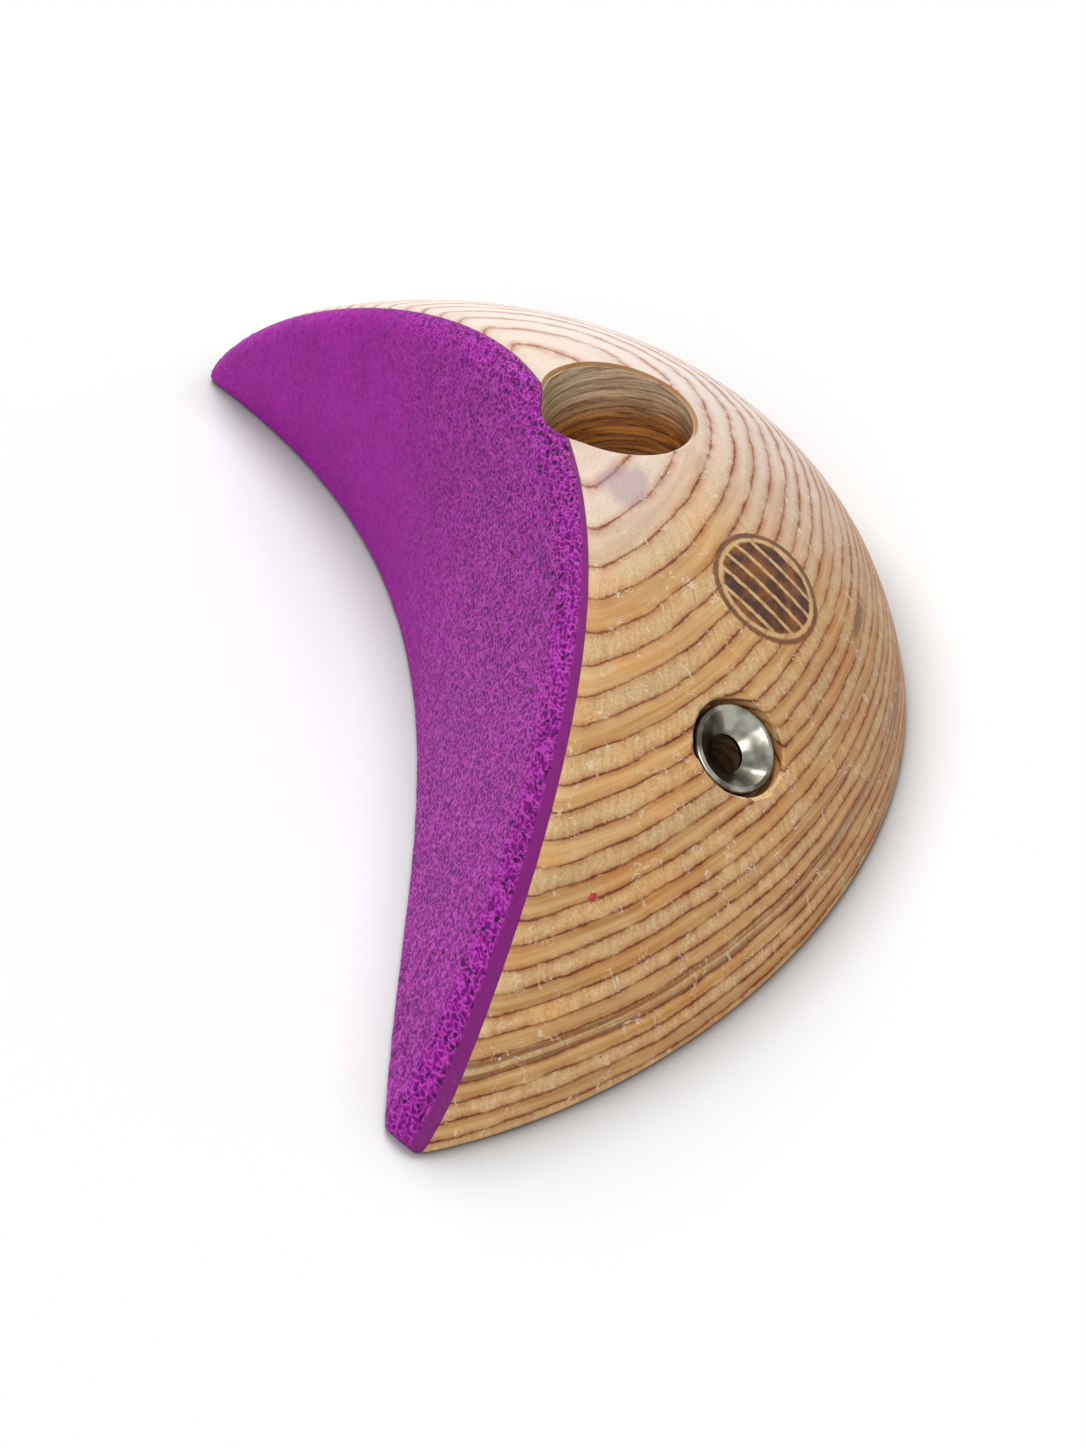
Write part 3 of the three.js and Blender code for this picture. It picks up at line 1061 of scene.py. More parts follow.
    def scratches(self, grain: Grain) -> bpy.types.Node:
        """Adds the nodes of the fine bright scratches.

        Args:
            grain: What is known about the point.

        Returns:
            A node that gives how much of a scratch shows.
        """
        add = grain.add
        stretch = self.scratch_stretch
        scratch = add("ShaderNodeTexNoise", grain.place, stretch, 1.0, 0.5, named={"Distortion": 1.5})
        scratch = add("ShaderNodeMath", scratch, 0.5, operation="SUBTRACT")
        scratch = add("ShaderNodeMath", scratch, operation="ABSOLUTE")
        scratch = add("ShaderNodeMapRange", scratch, 0.03, 0.012)
        some = add("ShaderNodeTexNoise", grain.place, self.scratched_stretch, 1.0)
        some = add("ShaderNodeMapRange", some, 0.57, 0.64, 0.0, self.scratch_most)
        return add("ShaderNodeMath", scratch, some, operation="MULTIPLY")

    def speckle(self, grain: Grain, sizes: Triple) -> tuple[Signal, Signal]:
        """Adds the nodes of small round specks.

        Args:
            grain: What is known about the point.
            sizes: Width of the cells that hold one speck each, or none, share of them that hold none, and
                radius of the widest speck.

        Returns:
            A node that gives how much of a speck shows, and a number that differs from speck to speck.
        """
        add, (net, least, widest) = grain.add, sizes
        cells = add("ShaderNodeTexVoronoi", grain.place, 1 / net)
        chosen = add("ShaderNodeSeparateColor", cells.outputs["Color"]).outputs
        size = add("ShaderNodeMapRange", chosen["Red"], least, 1.0, 0.0, widest / net)
        speck = add("ShaderNodeMath", cells.outputs["Distance"], size, operation="LESS_THAN")
        return add("ShaderNodeMath", speck, self.speck_most, operation="MULTIPLY"), chosen["Green"]

    def spot(
        self,
        grain: Grain,
        centre: Triple,
        reach: Triple,
        torn: tuple[Signal, float],
        fade: tuple[float, ...],
    ) -> bpy.types.Node:
        """Adds the nodes of a spot with a torn edge.

        Args:
            grain: What is known about the point.
            centre: Centre of the spot in millimetres.
            reach: Half the spot's width each way in millimetres.
            torn: The noise that tears its edge, and its strength.
            fade: Distances at which it is gone and whole, then what shows at each.

        Returns:
            A node that gives how much of the spot shows.
        """
        local = grain.add("ShaderNodeMapping", grain.place, centre, None, reach, vector_type="TEXTURE")
        out = grain.add("ShaderNodeVectorMath", local, operation="LENGTH").outputs["Value"]
        out = grain.add("ShaderNodeMath", *torn, out, operation="MULTIPLY_ADD")
        return grain.add("ShaderNodeMapRange", out, *fade)

    def spots(self, grain: Grain) -> list[Layer]:
        """Adds the nodes of specks, red paint and tar that handling left, and of a lilac patch at the bore.

        Args:
            grain: What is known about the point.

        Returns:
            How much of each shows, and its colour.
        """
        add = grain.add
        speck, sort = self.speckle(grain, self.speck_sizes)
        kind = add("ShaderNodeMath", sort, self.speck_light_share, operation="GREATER_THAN")
        kind = add("ShaderNodeMix", kind, srgb(self.speck_light), srgb(self.speck_dark), data_type="RGBA")
        red, _ = self.speckle(grain, self.paint_sizes)
        drop = self.spot(grain, self.red_at, self.red_mm, (grain.fur, 2.0), (2.0, 1.8, 0.0, 0.9))
        red = add("ShaderNodeMath", red, drop, operation="MAXIMUM")
        tar = self.spot(grain, self.tar_at, self.tar_mm, (grain.hatch, 1.6), (1.85, 1.4, 0.0, 0.7))
        lilac = self.spot(grain, self.lilac_at, self.lilac_mm, (grain.blotch, 2.6), (2.4, 1.7, 0.0, 0.55))
        coloured = [(red, self.stain_red), (tar, self.tar), (lilac, self.lilac)]
        return [(speck, kind), *((share, srgb(colour)) for share, colour in coloured)]

    def bore_wall(
        self, grain: Grain, holes: Drilling, offset: Vector, line: Signal
    ) -> tuple[list[Layer], bpy.types.Node]:
        """Adds the nodes of the counterbore, whose cutter tore its wall and scorched its rim amber.

        Args:
            grain: What is known about the point.
            holes: The holes through the blank.
            offset: What moves the blank's own axes into the model's frame, in millimetres.
            line: How much of a glue line shows there.

        Returns:
            How much of the rim and of the wall shows, with their looks, and a node for the wall's relief.
        """
        add, bore = grain.add, holes.counterbore
        winding = add("ShaderNodeCombineXYZ", grain.turned, grain.z, 0.0)
        winding = add("ShaderNodeMapping", winding, named={"Scale": self.wall_stretch})
        torn = add("ShaderNodeTexNoise", winding, 1.0, 5.0, 0.7, named={"Distortion": 0.4})
        torn = add("ShaderNodeMapRange", torn, 0.34, 0.56)
        # Painted light and shade: the torn wall and its gaps are painted lighter near the mouth, where
        # light reaches in, and darker deeper down.
        lit = add("ShaderNodeMapRange", grain.z, *self.wall_lit_heights)
        wall = add("ShaderNodeMix", lit, srgb(self.wall_shaded_face), srgb(self.wall_lit_face), data_type="RGBA")
        gaps = add("ShaderNodeMix", lit, srgb(self.wall_shaded_gap), srgb(self.wall_lit_gap), data_type="RGBA")
        wall = add("ShaderNodeMix", torn, gaps, wall, data_type="RGBA")
        tone = add("ShaderNodeMapRange", grain.golden, 0.0, 1.0, 1.0, self.wall_golden_tone)
        wall = add("ShaderNodeMix", 1.0, wall, tone, data_type="RGBA", blend_type="MULTIPLY")
        line = add("ShaderNodeMath", line, self.wall_glue_most, operation="MULTIPLY")
        wall = add("ShaderNodeMix", line, wall, srgb(self.glue), data_type="RGBA")
        out = bore.from_axis(add, grain.place, offset)
        inside = add("ShaderNodeMapRange", out, bore.radius + 0.12, bore.radius + 0.02)
        edge = bore.radius + self.rim_mm
        rim = add("ShaderNodeMapRange", out, edge, edge - 0.1, 0.0, self.rim_most)
        # Painted highlight: the front of the rim is painted in the pale highlight colour of the dome's top,
        # and the back keeps the amber.
        middle = bore.origin.x + offset.x
        sides = [middle + side for side in self.rim_span]
        side = add("ShaderNodeMapRange", grain.x, *sides)
        look = add("ShaderNodeMix", side, srgb(self.crest_highlight_tint), srgb(self.rim), data_type="RGBA")
        return [(rim, look), (inside, wall)], add("ShaderNodeMath", torn, inside, operation="MULTIPLY")

    def marked(self, grain: Grain, mark: BurntMark) -> list[Layer]:
        """Adds the nodes of the burnt mark, on ground that was scraped pale.

        Args:
            grain: What is known about the point.
            mark: The mark.

        Returns:
            How much of the ground, of the bars and of the ring shows, and their looks.
        """
        add = grain.add
        burnt, ring, ground = mark.burn(add, grain.place)
        ground = add("ShaderNodeMath", ground, self.scraped_most, operation="MULTIPLY")
        cooler = add("ShaderNodeTexNoise", grain.place, self.scorch_stretch, 3.0, 0.6)
        cooler = add("ShaderNodeMapRange", cooler, 0.42, 0.62)
        char = add("ShaderNodeMix", cooler, srgb(self.char), srgb(self.scorch), data_type="RGBA")
        cooler = add("ShaderNodeMath", cooler, 0.5, operation="MULTIPLY")
        singe = add("ShaderNodeMix", cooler, srgb(self.singed), srgb(self.scorch), data_type="RGBA")
        ring = add("ShaderNodeMath", ring, self.ring_most, operation="MULTIPLY")
        return [(ground, srgb(self.scraped)), (burnt, char), (ring, singe)]

    def make(self, mark: BurntMark, holes: Drilling, offset: Vector) -> bpy.types.Material:
        """Makes the material.

        Args:
            mark: The mark burnt into the dome.
            holes: The holes through the blank.
            offset: What moves the blank's own axes into the model's frame, in millimetres.

        Returns:
            The finished material.
        """
        material, add = new_material("sanded softwood plywood, oiled")
        grain = self.grain(add)
        crest_highlight = self.crest_highlight(grain)
        stain, line = self.glue_line(grain, crest_highlight)
        scratch = self.scratches(grain)
        walls, torn_wall = self.bore_wall(grain, holes, offset, line)
        marks = self.marked(grain, mark)
        # Painted shade: the wood inside the deep screw hole is painted dark.
        to_screw = holes.recess.from_axis(add, grain.place, offset)
        radius = holes.screw_hole_radius
        painted_shade = add("ShaderNodeMapRange", to_screw, radius + self.hole_shade_mm, radius, 0.0, self.hole_shade_most)

        # Each layer lies over the ones before it.
        layers = [
            (self.heartwood(grain), srgb(self.brown)),
            (crest_highlight, srgb(self.crest_highlight_tint)),
            (stain, srgb(self.bleed)),
            (line, srgb(self.glue)),
            (scratch, srgb(self.torn_light)),
            *self.spots(grain),
            *walls,
            (painted_shade, srgb(self.hole)),
            *marks,
        ]
        wood = self.bare(grain)
        for share, colour in layers:
            wood = add("ShaderNodeMix", share, wood, colour, data_type="RGBA")

        height = add("ShaderNodeMath", grain.hatch, grain.streaks, operation="ADD")
        height = add("ShaderNodeMath", grain.fur, 0.5, height, operation="MULTIPLY_ADD")
        height = add("ShaderNodeMath", height, self.grain_height, operation="MULTIPLY")
        burnt, _ = marks[1]
        reliefs = [(line, self.glue_height), (scratch, self.scratch_height)]
        reliefs += [(burnt, self.burn_height), (torn_wall, self.wall_height)]
        for part, rise in reliefs:
            height = add("ShaderNodeMath", part, rise, height, operation="MULTIPLY_ADD")
        bump = add("ShaderNodeBump", 0.6, MM, named={"Height": height})
        matt = (self.roughness - 0.05, self.roughness + 0.1)
        rough = add("ShaderNodeMapRange", grain.blotch, 0.3, 0.7, *matt)
        named = {"Base Color": wood, "Roughness": rough, "IOR": self.ior}
        named |= {"Specular IOR Level": self.specular, "Normal": bump}
        add("ShaderNodeOutputMaterial", add("ShaderNodeBsdfPrincipled", named=named))
        return material


@dataclass(frozen=True)
class MouldedResin:
    """Polyester resin cast against a gritty mould, dyed purple all through.

    It looks like a hard sponge: short worm-like ridges that run every way, small open pits, more of them
    where the face rolls over the ridge, and a satin sheen. Where the mould's parting strip lay, the edge is
    smooth. It reads two attributes: open_face, which is 0 on the smooth strip and 1 elsewhere, and ridge,
    which is 1 where the face rolls over.
    """

    # Painted light and shade: lighter worm crowns and ridge glints are painted highlights, and darker
    # furrows and pits are painted shade.
    purple: str = "#a2149c"
    furrow_shade: str = "#560659"
    pit_shade: str = "#3c0540"
    crown_highlight: str = "#cc4bc4"
    strip: str = "#832079"
    roughness: float = 0.4
    rougher: float = 0.2
    specular: float = 0.16
    ior: float = 1.5
    worm_mm: float = 0.66
    pit_mm: float = 0.95
    drawn: Triple = (0.7, 1.0, 0.95)
    worn_way: Triple = (1.0, 0.0, -1.2)
    worn_span: Pair = (-34.0, 14.0)
    worn_least: float = 0.2
    furrow_shade_most: float = 0.85
    crown_highlight_most: float = 0.55
    ridge_glint_more: float = 0.35
    worm_height: float = 0.16
    pit_depth: float = 0.5

    def make(self) -> bpy.types.Material:
        """Makes the material.

        Returns:
            The finished material.
        """
        material, add = new_material("cast polyester resin, gritty, purple")
        place = place_in_mm(add)
        open_face = add("ShaderNodeAttribute", attribute_name="open_face").outputs["Fac"]
        ridge = add("ShaderNodeAttribute", attribute_name="ridge").outputs["Fac"]

        # Worms: the lines where a fine noise crosses its middle, drawn out a little along the hold.
        drawn = add("ShaderNodeMapping", place, named={"Scale": self.drawn})
        worms = add("ShaderNodeTexNoise", drawn, 1 / self.worm_mm, 0.0, named={"Distortion": 0.4})
        worms = add("ShaderNodeMath", worms, 0.5, operation="SUBTRACT")
        worms = add("ShaderNodeMath", worms, operation="ABSOLUTE")
        worm = add("ShaderNodeMapRange", worms, 0.12, 0.02, interpolation_type="SMOOTHSTEP")
        gap = add("ShaderNodeMapRange", worms, 0.1, 0.24)
        # Pits: open air bells about 0.5 mm wide, in some of the cells of a net, and in more on the ridge.
        cells = add("ShaderNodeTexVoronoi", drawn, 1 / self.pit_mm)
        chosen = add("ShaderNodeSeparateColor", cells.outputs["Color"]).outputs
        many = add("ShaderNodeMath", ridge, 0.55, chosen["Red"], operation="MULTIPLY_ADD")
        size = add("ShaderNodeMapRange", many, 0.42, 1.3, 0.0, 0.32)
        frayed = add("ShaderNodeMath", worms, -0.6, cells.outputs["Distance"], operation="MULTIPLY_ADD")
        pit = add("ShaderNodeMath", frayed, size, operation="SUBTRACT")
        pit = add("ShaderNodeMapRange", pit, -0.02, -0.1)
        # All of them are faint towards the far tip and low in the hollow, where the mould was worn.
        side = add("ShaderNodeVectorMath", place, self.worn_way, operation="DOT_PRODUCT").outputs["Value"]
        worn = add("ShaderNodeMapRange", side, *self.worn_span, 1.0, self.worn_least)
        worm, gap, pit = (
            add("ShaderNodeMath", part, worn, operation="MULTIPLY") for part in (worm, gap, pit)
        )

        # Painted light and shade: the worm crowns are painted lighter, more so on the ridge as painted
        # glints, and the furrows and pits darker.
        dark = add("ShaderNodeMath", gap, self.furrow_shade_most, operation="MULTIPLY")
        light = add("ShaderNodeMath", ridge, self.ridge_glint_more, self.crown_highlight_most, operation="MULTIPLY_ADD")
        light = add("ShaderNodeMath", worm, light, operation="MULTIPLY")
        colour = srgb(self.purple)
        for share, look in ((dark, self.furrow_shade), (light, self.crown_highlight), (pit, self.pit_shade)):
            colour = add("ShaderNodeMix", share, colour, srgb(look), data_type="RGBA")
        cloud = add("ShaderNodeTexNoise", place, 0.09, 3.0, 0.6)
        tone = add("ShaderNodeMapRange", cloud, 0.3, 0.7, 0.9, 1.08)
        colour = add("ShaderNodeMix", 1.0, colour, tone, data_type="RGBA", blend_type="MULTIPLY")
        colour = add("ShaderNodeMix", open_face, srgb(self.strip), colour, data_type="RGBA")

        height = add("ShaderNodeMath", worm, self.worm_height, operation="MULTIPLY")
        height = add("ShaderNodeMath", pit, -self.pit_depth, height, operation="MULTIPLY_ADD")
        height = add("ShaderNodeMath", height, open_face, operation="MULTIPLY")
        bump = add("ShaderNodeBump", 0.9, MM, named={"Height": height})
        sheen = (self.roughness + self.rougher, self.roughness)
        rough = add("ShaderNodeMapRange", worm, 0.0, 1.0, *sheen)
        named = {"Base Color": colour, "Roughness": rough, "IOR": self.ior}
        named |= {"Specular IOR Level": self.specular, "Normal": bump}
        add("ShaderNodeOutputMaterial", add("ShaderNodeBsdfPrincipled", named=named))
        return material


@dataclass(frozen=True)
class TurnedSteel:
    """Bright turned steel, a little stained by handling, with fine rings left by the tool."""

    steel: str = "#a5a499"
    stain: str = "#57544a"
    roughness: float = 0.16
    ring_mm: float = 0.22
    ring_height: float = 0.012

    def make(self, name: str, bore: Bore, offset: Vector) -> bpy.types.Material:
        """Makes the material.

        Args:
            name: The material's name.
            bore: The bore whose axis the tool's rings run round.
            offset: What moves the blank's own axes into the model's frame, in millimetres.

        Returns:
            The finished material.
        """
        material, add = new_material(name)
        place = place_in_mm(add)
        out = add("ShaderNodeCombineXYZ", bore.from_axis(add, place, offset), 0.0, 0.0)
        rings = add("ShaderNodeTexNoise", out, 1 / self.ring_mm, 1.0)
        cloud = add("ShaderNodeTexNoise", place, 0.25, 2.0, 0.5)
        stained = add("ShaderNodeMapRange", cloud, 0.4, 0.6)
        colour = add("ShaderNodeMix", stained, srgb(self.steel), srgb(self.stain), data_type="RGBA")
        worn = (self.roughness - 0.05, self.roughness + 0.15)
        rough = add("ShaderNodeMapRange", cloud, 0.3, 0.7, *worn)
        height = add("ShaderNodeMath", rings, self.ring_height, operation="MULTIPLY")
        bump = add("ShaderNodeBump", 0.5, MM, named={"Height": height})
        named = {"Base Color": colour, "Metallic": 1.0, "Roughness": rough, "Normal": bump}
        add("ShaderNodeOutputMaterial", add("ShaderNodeBsdfPrincipled", named=named))
        return material


def finish_piece(piece: bpy.types.Object, offset: Vector, material: bpy.types.Material) -> None:
    """Moves a piece into the model's frame in metres, dresses it and lets it ride with the hold.

    Args:
        piece: The piece, in millimetres in the blank's own axes.
        offset: What moves the blank's own axes into the model's frame, in millimetres.
        material: Its finish.
    """
    piece.data.transform(Matrix.Scale(MM, 4) @ Matrix.Translation(offset))
    piece.data.materials.clear()
    piece.data.materials.append(material)
    piece.data.shade_smooth()
    piece.data.set_sharp_from_angle(angle=math.radians(SHARP_DEGREES))
    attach(piece, ROOT_BODY)
    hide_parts(piece.name.removeprefix("fine_"))
    LOG.info("%s: %d faces", piece.name, len(piece.data.polygons))


@dataclass(frozen=True)
class PartingFace:
    """The face where the resin was cast on the wood, as a cutter of all that lies behind it."""

    shape: BlankShape
    columns: int = 260
    rows: int = 40
    overrun: float = 8.0

    def cutter(self, gap: float) -> bpy.types.Object:
        """Makes the cutter.

        Args:
            gap: How much further back than the resin it starts, in millimetres.

        Returns:
            The closed cutter.
        """
        reach = self.shape.near_reach + self.overrun
        top = self.shape.crest_height + self.overrun
        back = -self.shape.belly_set_back - self.shape.belly_reach - self.overrun
        along, up = np.linspace(-reach, reach, self.columns), np.linspace(-self.overrun, top, self.rows)
        x, z = np.meshgrid(along, up, indexing="ij")
        behind = (self.shape.skin_depth(x) + gap) * self.shape.face_stretch(x, z)
        front = np.stack([x, self.shape.face_across(x, z) - behind, z], -1)
        ends = [[[px, back, pz] for pz in (top, -self.overrun)] for px in along]
        rings = np.concatenate([front, ends], 1)
        return make_object("cutter", rings, rings[[0, -1]].mean(1))


@dataclass(frozen=True)
class WoodBody:
    """The plywood blank with its drilled and eased holes, in millimetres.

    The chips are where splinters came away from the recess's edge. They are waves round it, each with its
    strength, its count and its start, and only their crests are cut away.
    """

    shape: BlankShape
    drilling: Drilling
    stations: int = 400
    columns: tuple[int, int, int] = (20, 150, 16)
    gather: float = 0.6
    glue_gap: float = 0.04
    bore_rim: float = 0.6
    recess_rim: float = 0.35
    chip_waves: tuple[Triple, ...] = ((1.0, 3.0, 0.7), (1.0, 7.0, 2.1), (0.8, 13.0, 4.0))
    chip_size: float = 0.22

    def chips(self, angle: Points) -> Points:
        """Extra width of the recess's broken edge in some directions."""
        wave = sum(strength * np.sin(count * angle + start) for strength, count, start in self.chip_waves)
        return self.chip_size * np.maximum(wave, 0)

    def build(self, offset: Vector, mark: BurntMark) -> bpy.types.Object:
        """Builds the wood body and dresses it.

        Args:
            offset: What moves the blank's own axes into the model's frame, in millimetres.
            mark: The mark burnt into the dome.

        Returns:
            The finished piece.
        """
        piece = make_object("fine_wood_body", *self.shape.surface(self.stations, self.columns, self.gather))
        holes = self.drilling
        cut(piece, PartingFace(self.shape).cutter(self.glue_gap), Cut.KEEP)
        cut(piece, holes.bolt_cutter(), Cut.AWAY)
        cut(piece, holes.screw_cutter(), Cut.AWAY)
        cut(piece, holes.rim_cutter(holes.counterbore, self.bore_rim, np.zeros_like), Cut.AWAY)
        cut(piece, holes.rim_cutter(holes.recess, self.recess_rim, self.chips), Cut.AWAY)
        finish_piece(piece, offset, Plywood().make(mark, holes, offset))
        return piece


@dataclass(frozen=True)
class MouldRelief:
    """Lumps that the gritty mould left on the resin, highest where the face rolls over. Millimetres."""

    lump_mm: float = 1.6
    height: float = 0.22
    ridge_height: float = 0.5
    seed: float = 7.0

    def tree(self) -> bpy.types.NodeTree:
        """Makes the geometry tree that lifts the points by a noise.

        Returns:
            The tree, with a named input for each size, the seed and the finish.
        """
        tree = bpy.data.node_groups.new("mould_relief", "GeometryNodeTree")
        add = partial(add_node, tree)
        sockets = {"Geometry": "Geometry", "Lump size": "Float", "Height": "Float"}
        sockets |= {"Ridge height": "Float", "Seed": "Float", "Finish": "Material"}
        for name, kind in sockets.items():
            tree.interface.new_socket(name, in_out="INPUT", socket_type=f"NodeSocket{kind}")
        tree.interface.new_socket("Geometry", in_out="OUTPUT", socket_type="NodeSocketGeometry")
        given = add("NodeGroupInput").outputs
        scale = add("ShaderNodeMath", 1.0, given["Lump size"], operation="DIVIDE")
        place = add("GeometryNodeInputPosition")
        named = {"Vector": place, "W": given["Seed"], "Scale": scale, "Detail": 1.0}
        noise = add("ShaderNodeTexNoise", noise_dimensions="4D", named=named)
        swell = add("ShaderNodeMath", noise, 0.5, operation="SUBTRACT")
        ridge = add("GeometryNodeInputNamedAttribute", "ridge", data_type="FLOAT")
        open_face = add("GeometryNodeInputNamedAttribute", "open_face", data_type="FLOAT")
        height = add("ShaderNodeMix", ridge, given["Height"], given["Ridge height"])
        height = add("ShaderNodeMath", height, open_face, operation="MULTIPLY")
        height = add("ShaderNodeMath", height, swell, operation="MULTIPLY")
        lift = add("ShaderNodeVectorMath", add("GeometryNodeInputNormal"), height, operation="SCALE")
        moved = add("GeometryNodeSetPosition", given["Geometry"], named={"Offset": lift})
        whole = add("GeometryNodeRealizeInstances", moved)
        dressed = add("GeometryNodeSetMaterial", whole, named={"Material": given["Finish"]})
        add("NodeGroupOutput", dressed)
        return tree

    def press(self, piece: bpy.types.Object, material: bpy.types.Material) -> None:
        """Presses the relief into a piece and leaves a plain mesh.

        Args:
            piece: The piece, in millimetres, with the attributes ridge and open_face.
            material: Its finish.
        """
        modifier = piece.modifiers.new("mould_relief", "NODES")
        modifier.node_group = self.tree()
        values = {"Lump size": self.lump_mm, "Height": self.height, "Ridge height": self.ridge_height}
        values |= {"Seed": self.seed, "Finish": material}
        for item in modifier.node_group.interface.items_tree:
            if item.name in values:
                modifier[item.identifier] = values[item.name]
        evaluated_mesh(piece)


@dataclass(frozen=True)
class GripFace:
    """The resin skin on the hollow face, rolled over the ridge, in millimetres.

    The mould left a smooth strip along the seam. It is strip_middle wide in the middle of the hold, wider
    by strip_slope at the near tip, and gone from the share strip_end of the far half on.
    """

    shape: BlankShape
    drilling: Drilling
    stations: int = 560
    columns: tuple[int, int, int] = (110, 80, 8)
    gather: float = 0.75
    bore_rim: float = 0.5
    strip_slope: float = 1.2
    strip_middle: float = 0.2
    strip_end: float = -0.2
    strip_blend: float = 0.3
    ridge_reach: float = 5.0

    def build(self, offset: Vector) -> bpy.types.Object:
        """Builds the grip face and dresses it.

        Args:
            offset: What moves the blank's own axes into the model's frame, in millimetres.

        Returns:
            The finished piece.
        """
        piece = make_object("fine_grip_face", *self.shape.surface(self.stations, self.columns, self.gather))
        holes = self.drilling
        cut(piece, PartingFace(self.shape).cutter(0.0), Cut.AWAY)
        cut(piece, holes.bolt_cutter(), Cut.AWAY)
        cut(piece, holes.rim_cutter(holes.counterbore, self.bore_rim, np.zeros_like), Cut.AWAY)
        points = mesh_points(piece)
        to_seam = self.shape.skin_depth(points[:, 0]) - self.shape.face_depth(points)
        near = np.clip(-points[:, 0] / self.shape.half_chord, self.strip_end, 1)
        strip = self.strip_slope * near + self.strip_middle
        set_attribute(piece, "open_face", np.clip((to_seam - strip) / self.strip_blend, 0, 1))
        from_dome = self.shape.dome_depth(points)
        set_attribute(piece, "ridge", np.clip((self.ridge_reach - from_dome) / self.ridge_reach, 0, 1))
        material = MouldedResin().make()
        MouldRelief().press(piece, material)
        finish_piece(piece, offset, material)
        return piece


@dataclass(frozen=True)
class TurnedWashers:
    """The cup washer of the screw and the flat washer of the wall bolt, in millimetres."""

    drilling: Drilling
    cup_mouth_radius: float = 5.5
    cup_hole_radius: float = 2.75
    cup_floor: float = 0.7
    cup_edge_round: float = 0.5
    cup_mouth_round: float = 0.25
    cup_heel: float = 0.15
    chamfer: float = 0.1
    washer_radius: float = 10.0
    washer_hole_radius: float = 5.25
    washer_thickness: float = 2.0
    washer_edge_round: float = 0.35
    edge_steps: int = 8
    segments: int = 160

    def arc(self, centre: Pair, radius: float, start: float, end: float) -> Profile:
        """Points on an arc of a profile, between two angles in degrees."""
        angles = np.radians(np.linspace(start, end, self.edge_steps + 1))
        return [(centre[0] + radius * math.cos(a), centre[1] + radius * math.sin(a)) for a in angles]

    def turned(
        self, name: str, metal: str, bore: Bore, profile: Profile, offset: Vector
    ) -> bpy.types.Object:
        """Turns a closed profile about a bore's axis and dresses the piece.

        Args:
            name: The piece's name.
            metal: The name of its material.
            bore: The bore.
            profile: Radii and heights in the bore's frame.
            offset: What moves the blank's own axes into the model's frame, in millimetres.

        Returns:
            The finished piece.
        """
        piece = make_object(name, bore.place(round_points(profile, self.segments)))
        finish_piece(piece, offset, TurnedSteel().make(metal, bore, offset))
        return piece

    def cup(self) -> Profile:
        """The cup washer's profile, a cone with a round lip.

        Returns:
            Radii and heights in the recess's frame.
        """
        holes, small = self.drilling, self.chamfer
        top, edge = -holes.cup_sink, self.cup_edge_round
        floor = top - holes.cup_height
        mouth = (self.cup_mouth_radius + small, top - self.cup_mouth_round)
        return [
            (self.cup_hole_radius, floor + small),
            (self.cup_hole_radius + small, floor),
            (holes.cup_radius - self.cup_heel, floor),
            (holes.cup_radius, floor + self.cup_heel),
            *self.arc((holes.cup_radius - edge, top - edge), edge, 0, 90),
            *self.arc(mouth, self.cup_mouth_round, 90, 140),
            (self.cup_hole_radius + small, floor + self.cup_floor + small),
            (self.cup_hole_radius, floor + self.cup_floor),
        ]

    def flat(self) -> Profile:
        """The flat washer's profile, with four round edges.

        Returns:
            Radii and heights in the counterbore's frame.
        """
        edge = self.washer_edge_round
        low = self.drilling.bolt_web + self.drilling.seat_gap
        high = low + self.washer_thickness
        outer, inner = self.washer_radius - edge, self.washer_hole_radius + edge
        corners = [(outer, low + edge), (outer, high - edge), (inner, high - edge), (inner, low + edge)]
        return [point for i, c in enumerate(corners) for point in self.arc(c, edge, i * 90 - 90, i * 90)]

    def build(self, offset: Vector) -> list[bpy.types.Object]:
        """Builds both washers and dresses them.

        Args:
            offset: What moves the blank's own axes into the model's frame, in millimetres.

        Returns:
            The finished pieces.
        """
        recess, pocket = self.drilling.recess, self.drilling.counterbore
        cup = self.turned("fine_screw_cup_washer", "turned stainless steel", recess, self.cup(), offset)
        flat = self.turned("fine_bolt_washer", "zinc plated steel", pocket, self.flat(), offset)
        return [cup, flat]


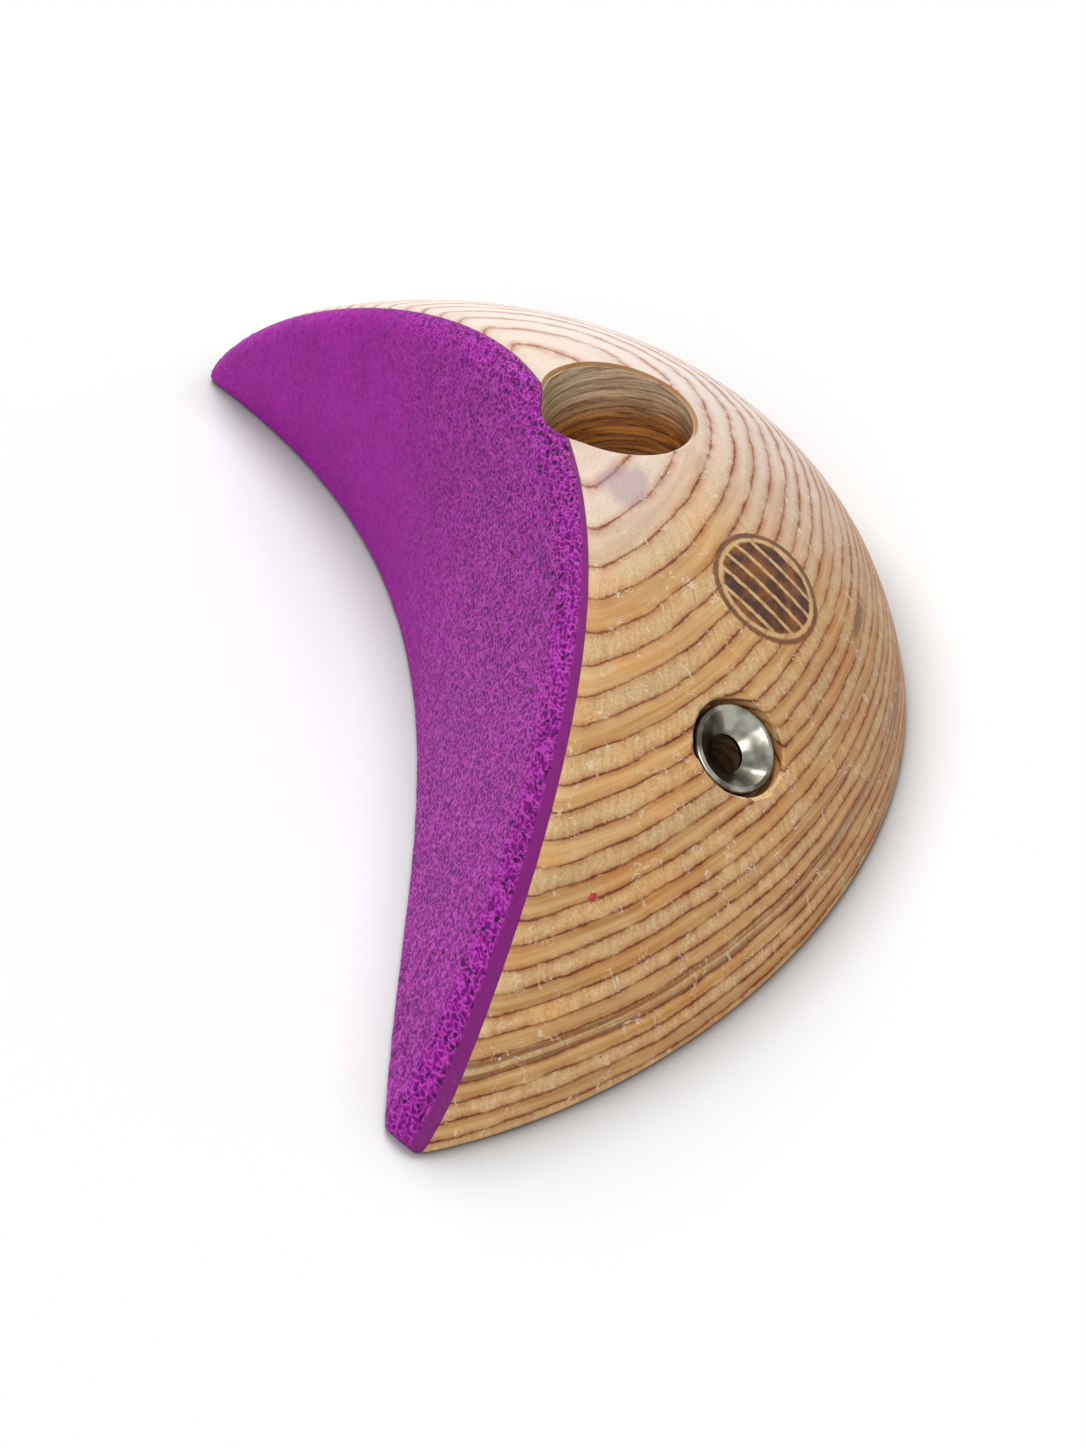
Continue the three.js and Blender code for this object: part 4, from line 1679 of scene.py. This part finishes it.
@dataclass(frozen=True)
class Studio:
    """White floor, even light from all round, a broad soft lamp from behind and a faint one in front.

    Each lamp has its strength, the way to it and its spread in degrees. The floor's reach, and how far a
    nook in it takes light away, are in metres.
    """

    floor_reach: float = 6.0
    floor_colour: str = "#fbfbfb"
    nook_reach: float = 0.01
    nook_samples: int = 6
    sky: float = 0.26
    lamps: tuple[tuple[float, Triple, float], ...] = (
        (2.45, (0.73, -0.12, 0.67), 36.0),
        (1.15, (-0.7, 0.3, 0.72), 40.0),
    )

    def build(self) -> bpy.types.Object:
        """Builds the floor and the lights, and sets the view.

        Returns:
            The floor.
        """
        reach = self.floor_reach
        mesh = bpy.data.meshes.new("floor")
        corners = [(-reach, -reach, 0), (reach, -reach, 0), (reach, reach, 0), (-reach, reach, 0)]
        mesh.from_pydata(corners, [], [(0, 1, 2, 3)])
        floor = new_object("floor", mesh)
        material, add = new_material("white paper floor")
        # Painted contact shadow: ambient occlusion darkens the paper's colour where the hold closes in on
        # it.
        white, reach, samples = srgb(self.floor_colour), self.nook_reach, self.nook_samples
        painted_shade = add("ShaderNodeAmbientOcclusion", white, reach, samples=samples)
        add("ShaderNodeOutputMaterial", add("ShaderNodeBsdfDiffuse", painted_shade))
        mesh.materials.append(material)
        self.light()
        bpy.context.scene.view_settings.view_transform = "Standard"
        return floor

    def light(self) -> None:
        """Adds the lamps and the world's even light, whose backdrop is white."""
        for strength, way, spread in self.lamps:
            sun = bpy.data.lights.new("soft_lamp", "SUN")
            sun.energy = strength
            sun.angle = math.radians(spread)
            lamp = new_object("soft_lamp", sun)
            lamp.rotation_euler = Vector(way).to_track_quat("Z", "Y").to_euler()
        world = bpy.data.worlds.new("studio")
        world.use_nodes = True
        world.node_tree.nodes.clear()
        add = partial(add_node, world.node_tree)
        path = add("ShaderNodeLightPath").outputs
        seen = add("ShaderNodeMath", path["Is Camera Ray"], path["Is Glossy Ray"], operation="MAXIMUM")
        seen = add("ShaderNodeMath", seen, path["Is Transmission Ray"], operation="MAXIMUM")
        strength = add("ShaderNodeMapRange", seen, 0.0, 1.0, self.sky, 1.0)
        background = add("ShaderNodeBackground", (1, 1, 1, 1), strength)
        add("ShaderNodeOutputWorld", background)
        bpy.context.scene.world = world


@dataclass(frozen=True)
class PhotographCamera:
    """The camera of the photograph, which stands high over the near tip. Millimetres and degrees."""

    target: Triple = (-15.625, 6.865, 0.0)
    azimuth: float = 171.445
    elevation: float = 40.79
    roll: float = -1.534
    distance: float = 355.719
    focal_pixels: float = 2393.0
    long_side_pixels: int = 1448
    sensor: float = 36.0

    def build(self) -> bpy.types.Object:
        """Makes the scene's camera.

        Returns:
            The camera.
        """
        swing, lift, roll = (math.radians(a) for a in (self.azimuth, self.elevation, self.roll))
        back = Vector((math.cos(swing) * math.cos(lift), math.sin(swing) * math.cos(lift), math.sin(lift)))
        level = Vector((0, 0, 1)).cross(back).normalized()
        upright = back.cross(level)
        right = level * math.cos(roll) + upright * math.sin(roll)
        up = upright * math.cos(roll) - level * math.sin(roll)
        lens = bpy.data.cameras.new("camera")
        lens.sensor_width = self.sensor
        lens.lens = self.focal_pixels * self.sensor / self.long_side_pixels
        camera = new_object("camera", lens)
        turn = Matrix((right, up, back)).transposed().to_4x4()
        place = (Vector(self.target) + back * self.distance) * MM
        camera.matrix_world = Matrix.Translation(place) @ turn
        bpy.context.scene.camera = camera
        return camera


def main() -> None:
    """Builds the hold, its stage and its camera."""
    logging.basicConfig(level=logging.INFO, format="%(message)s")
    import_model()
    PhotographCamera().build()
    Studio().build()
    shape = BlankShape()
    drilling = Drilling(shape)
    low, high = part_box("bolt_washer")
    offset = (low + high) / 2 / MM - drilling.counterbore.origin
    offset.z = 0
    WoodBody(shape, drilling).build(offset, BurntMark())
    GripFace(shape, drilling).build(offset)
    TurnedWashers(drilling).build(offset)


if __name__ == "__main__":
    main()
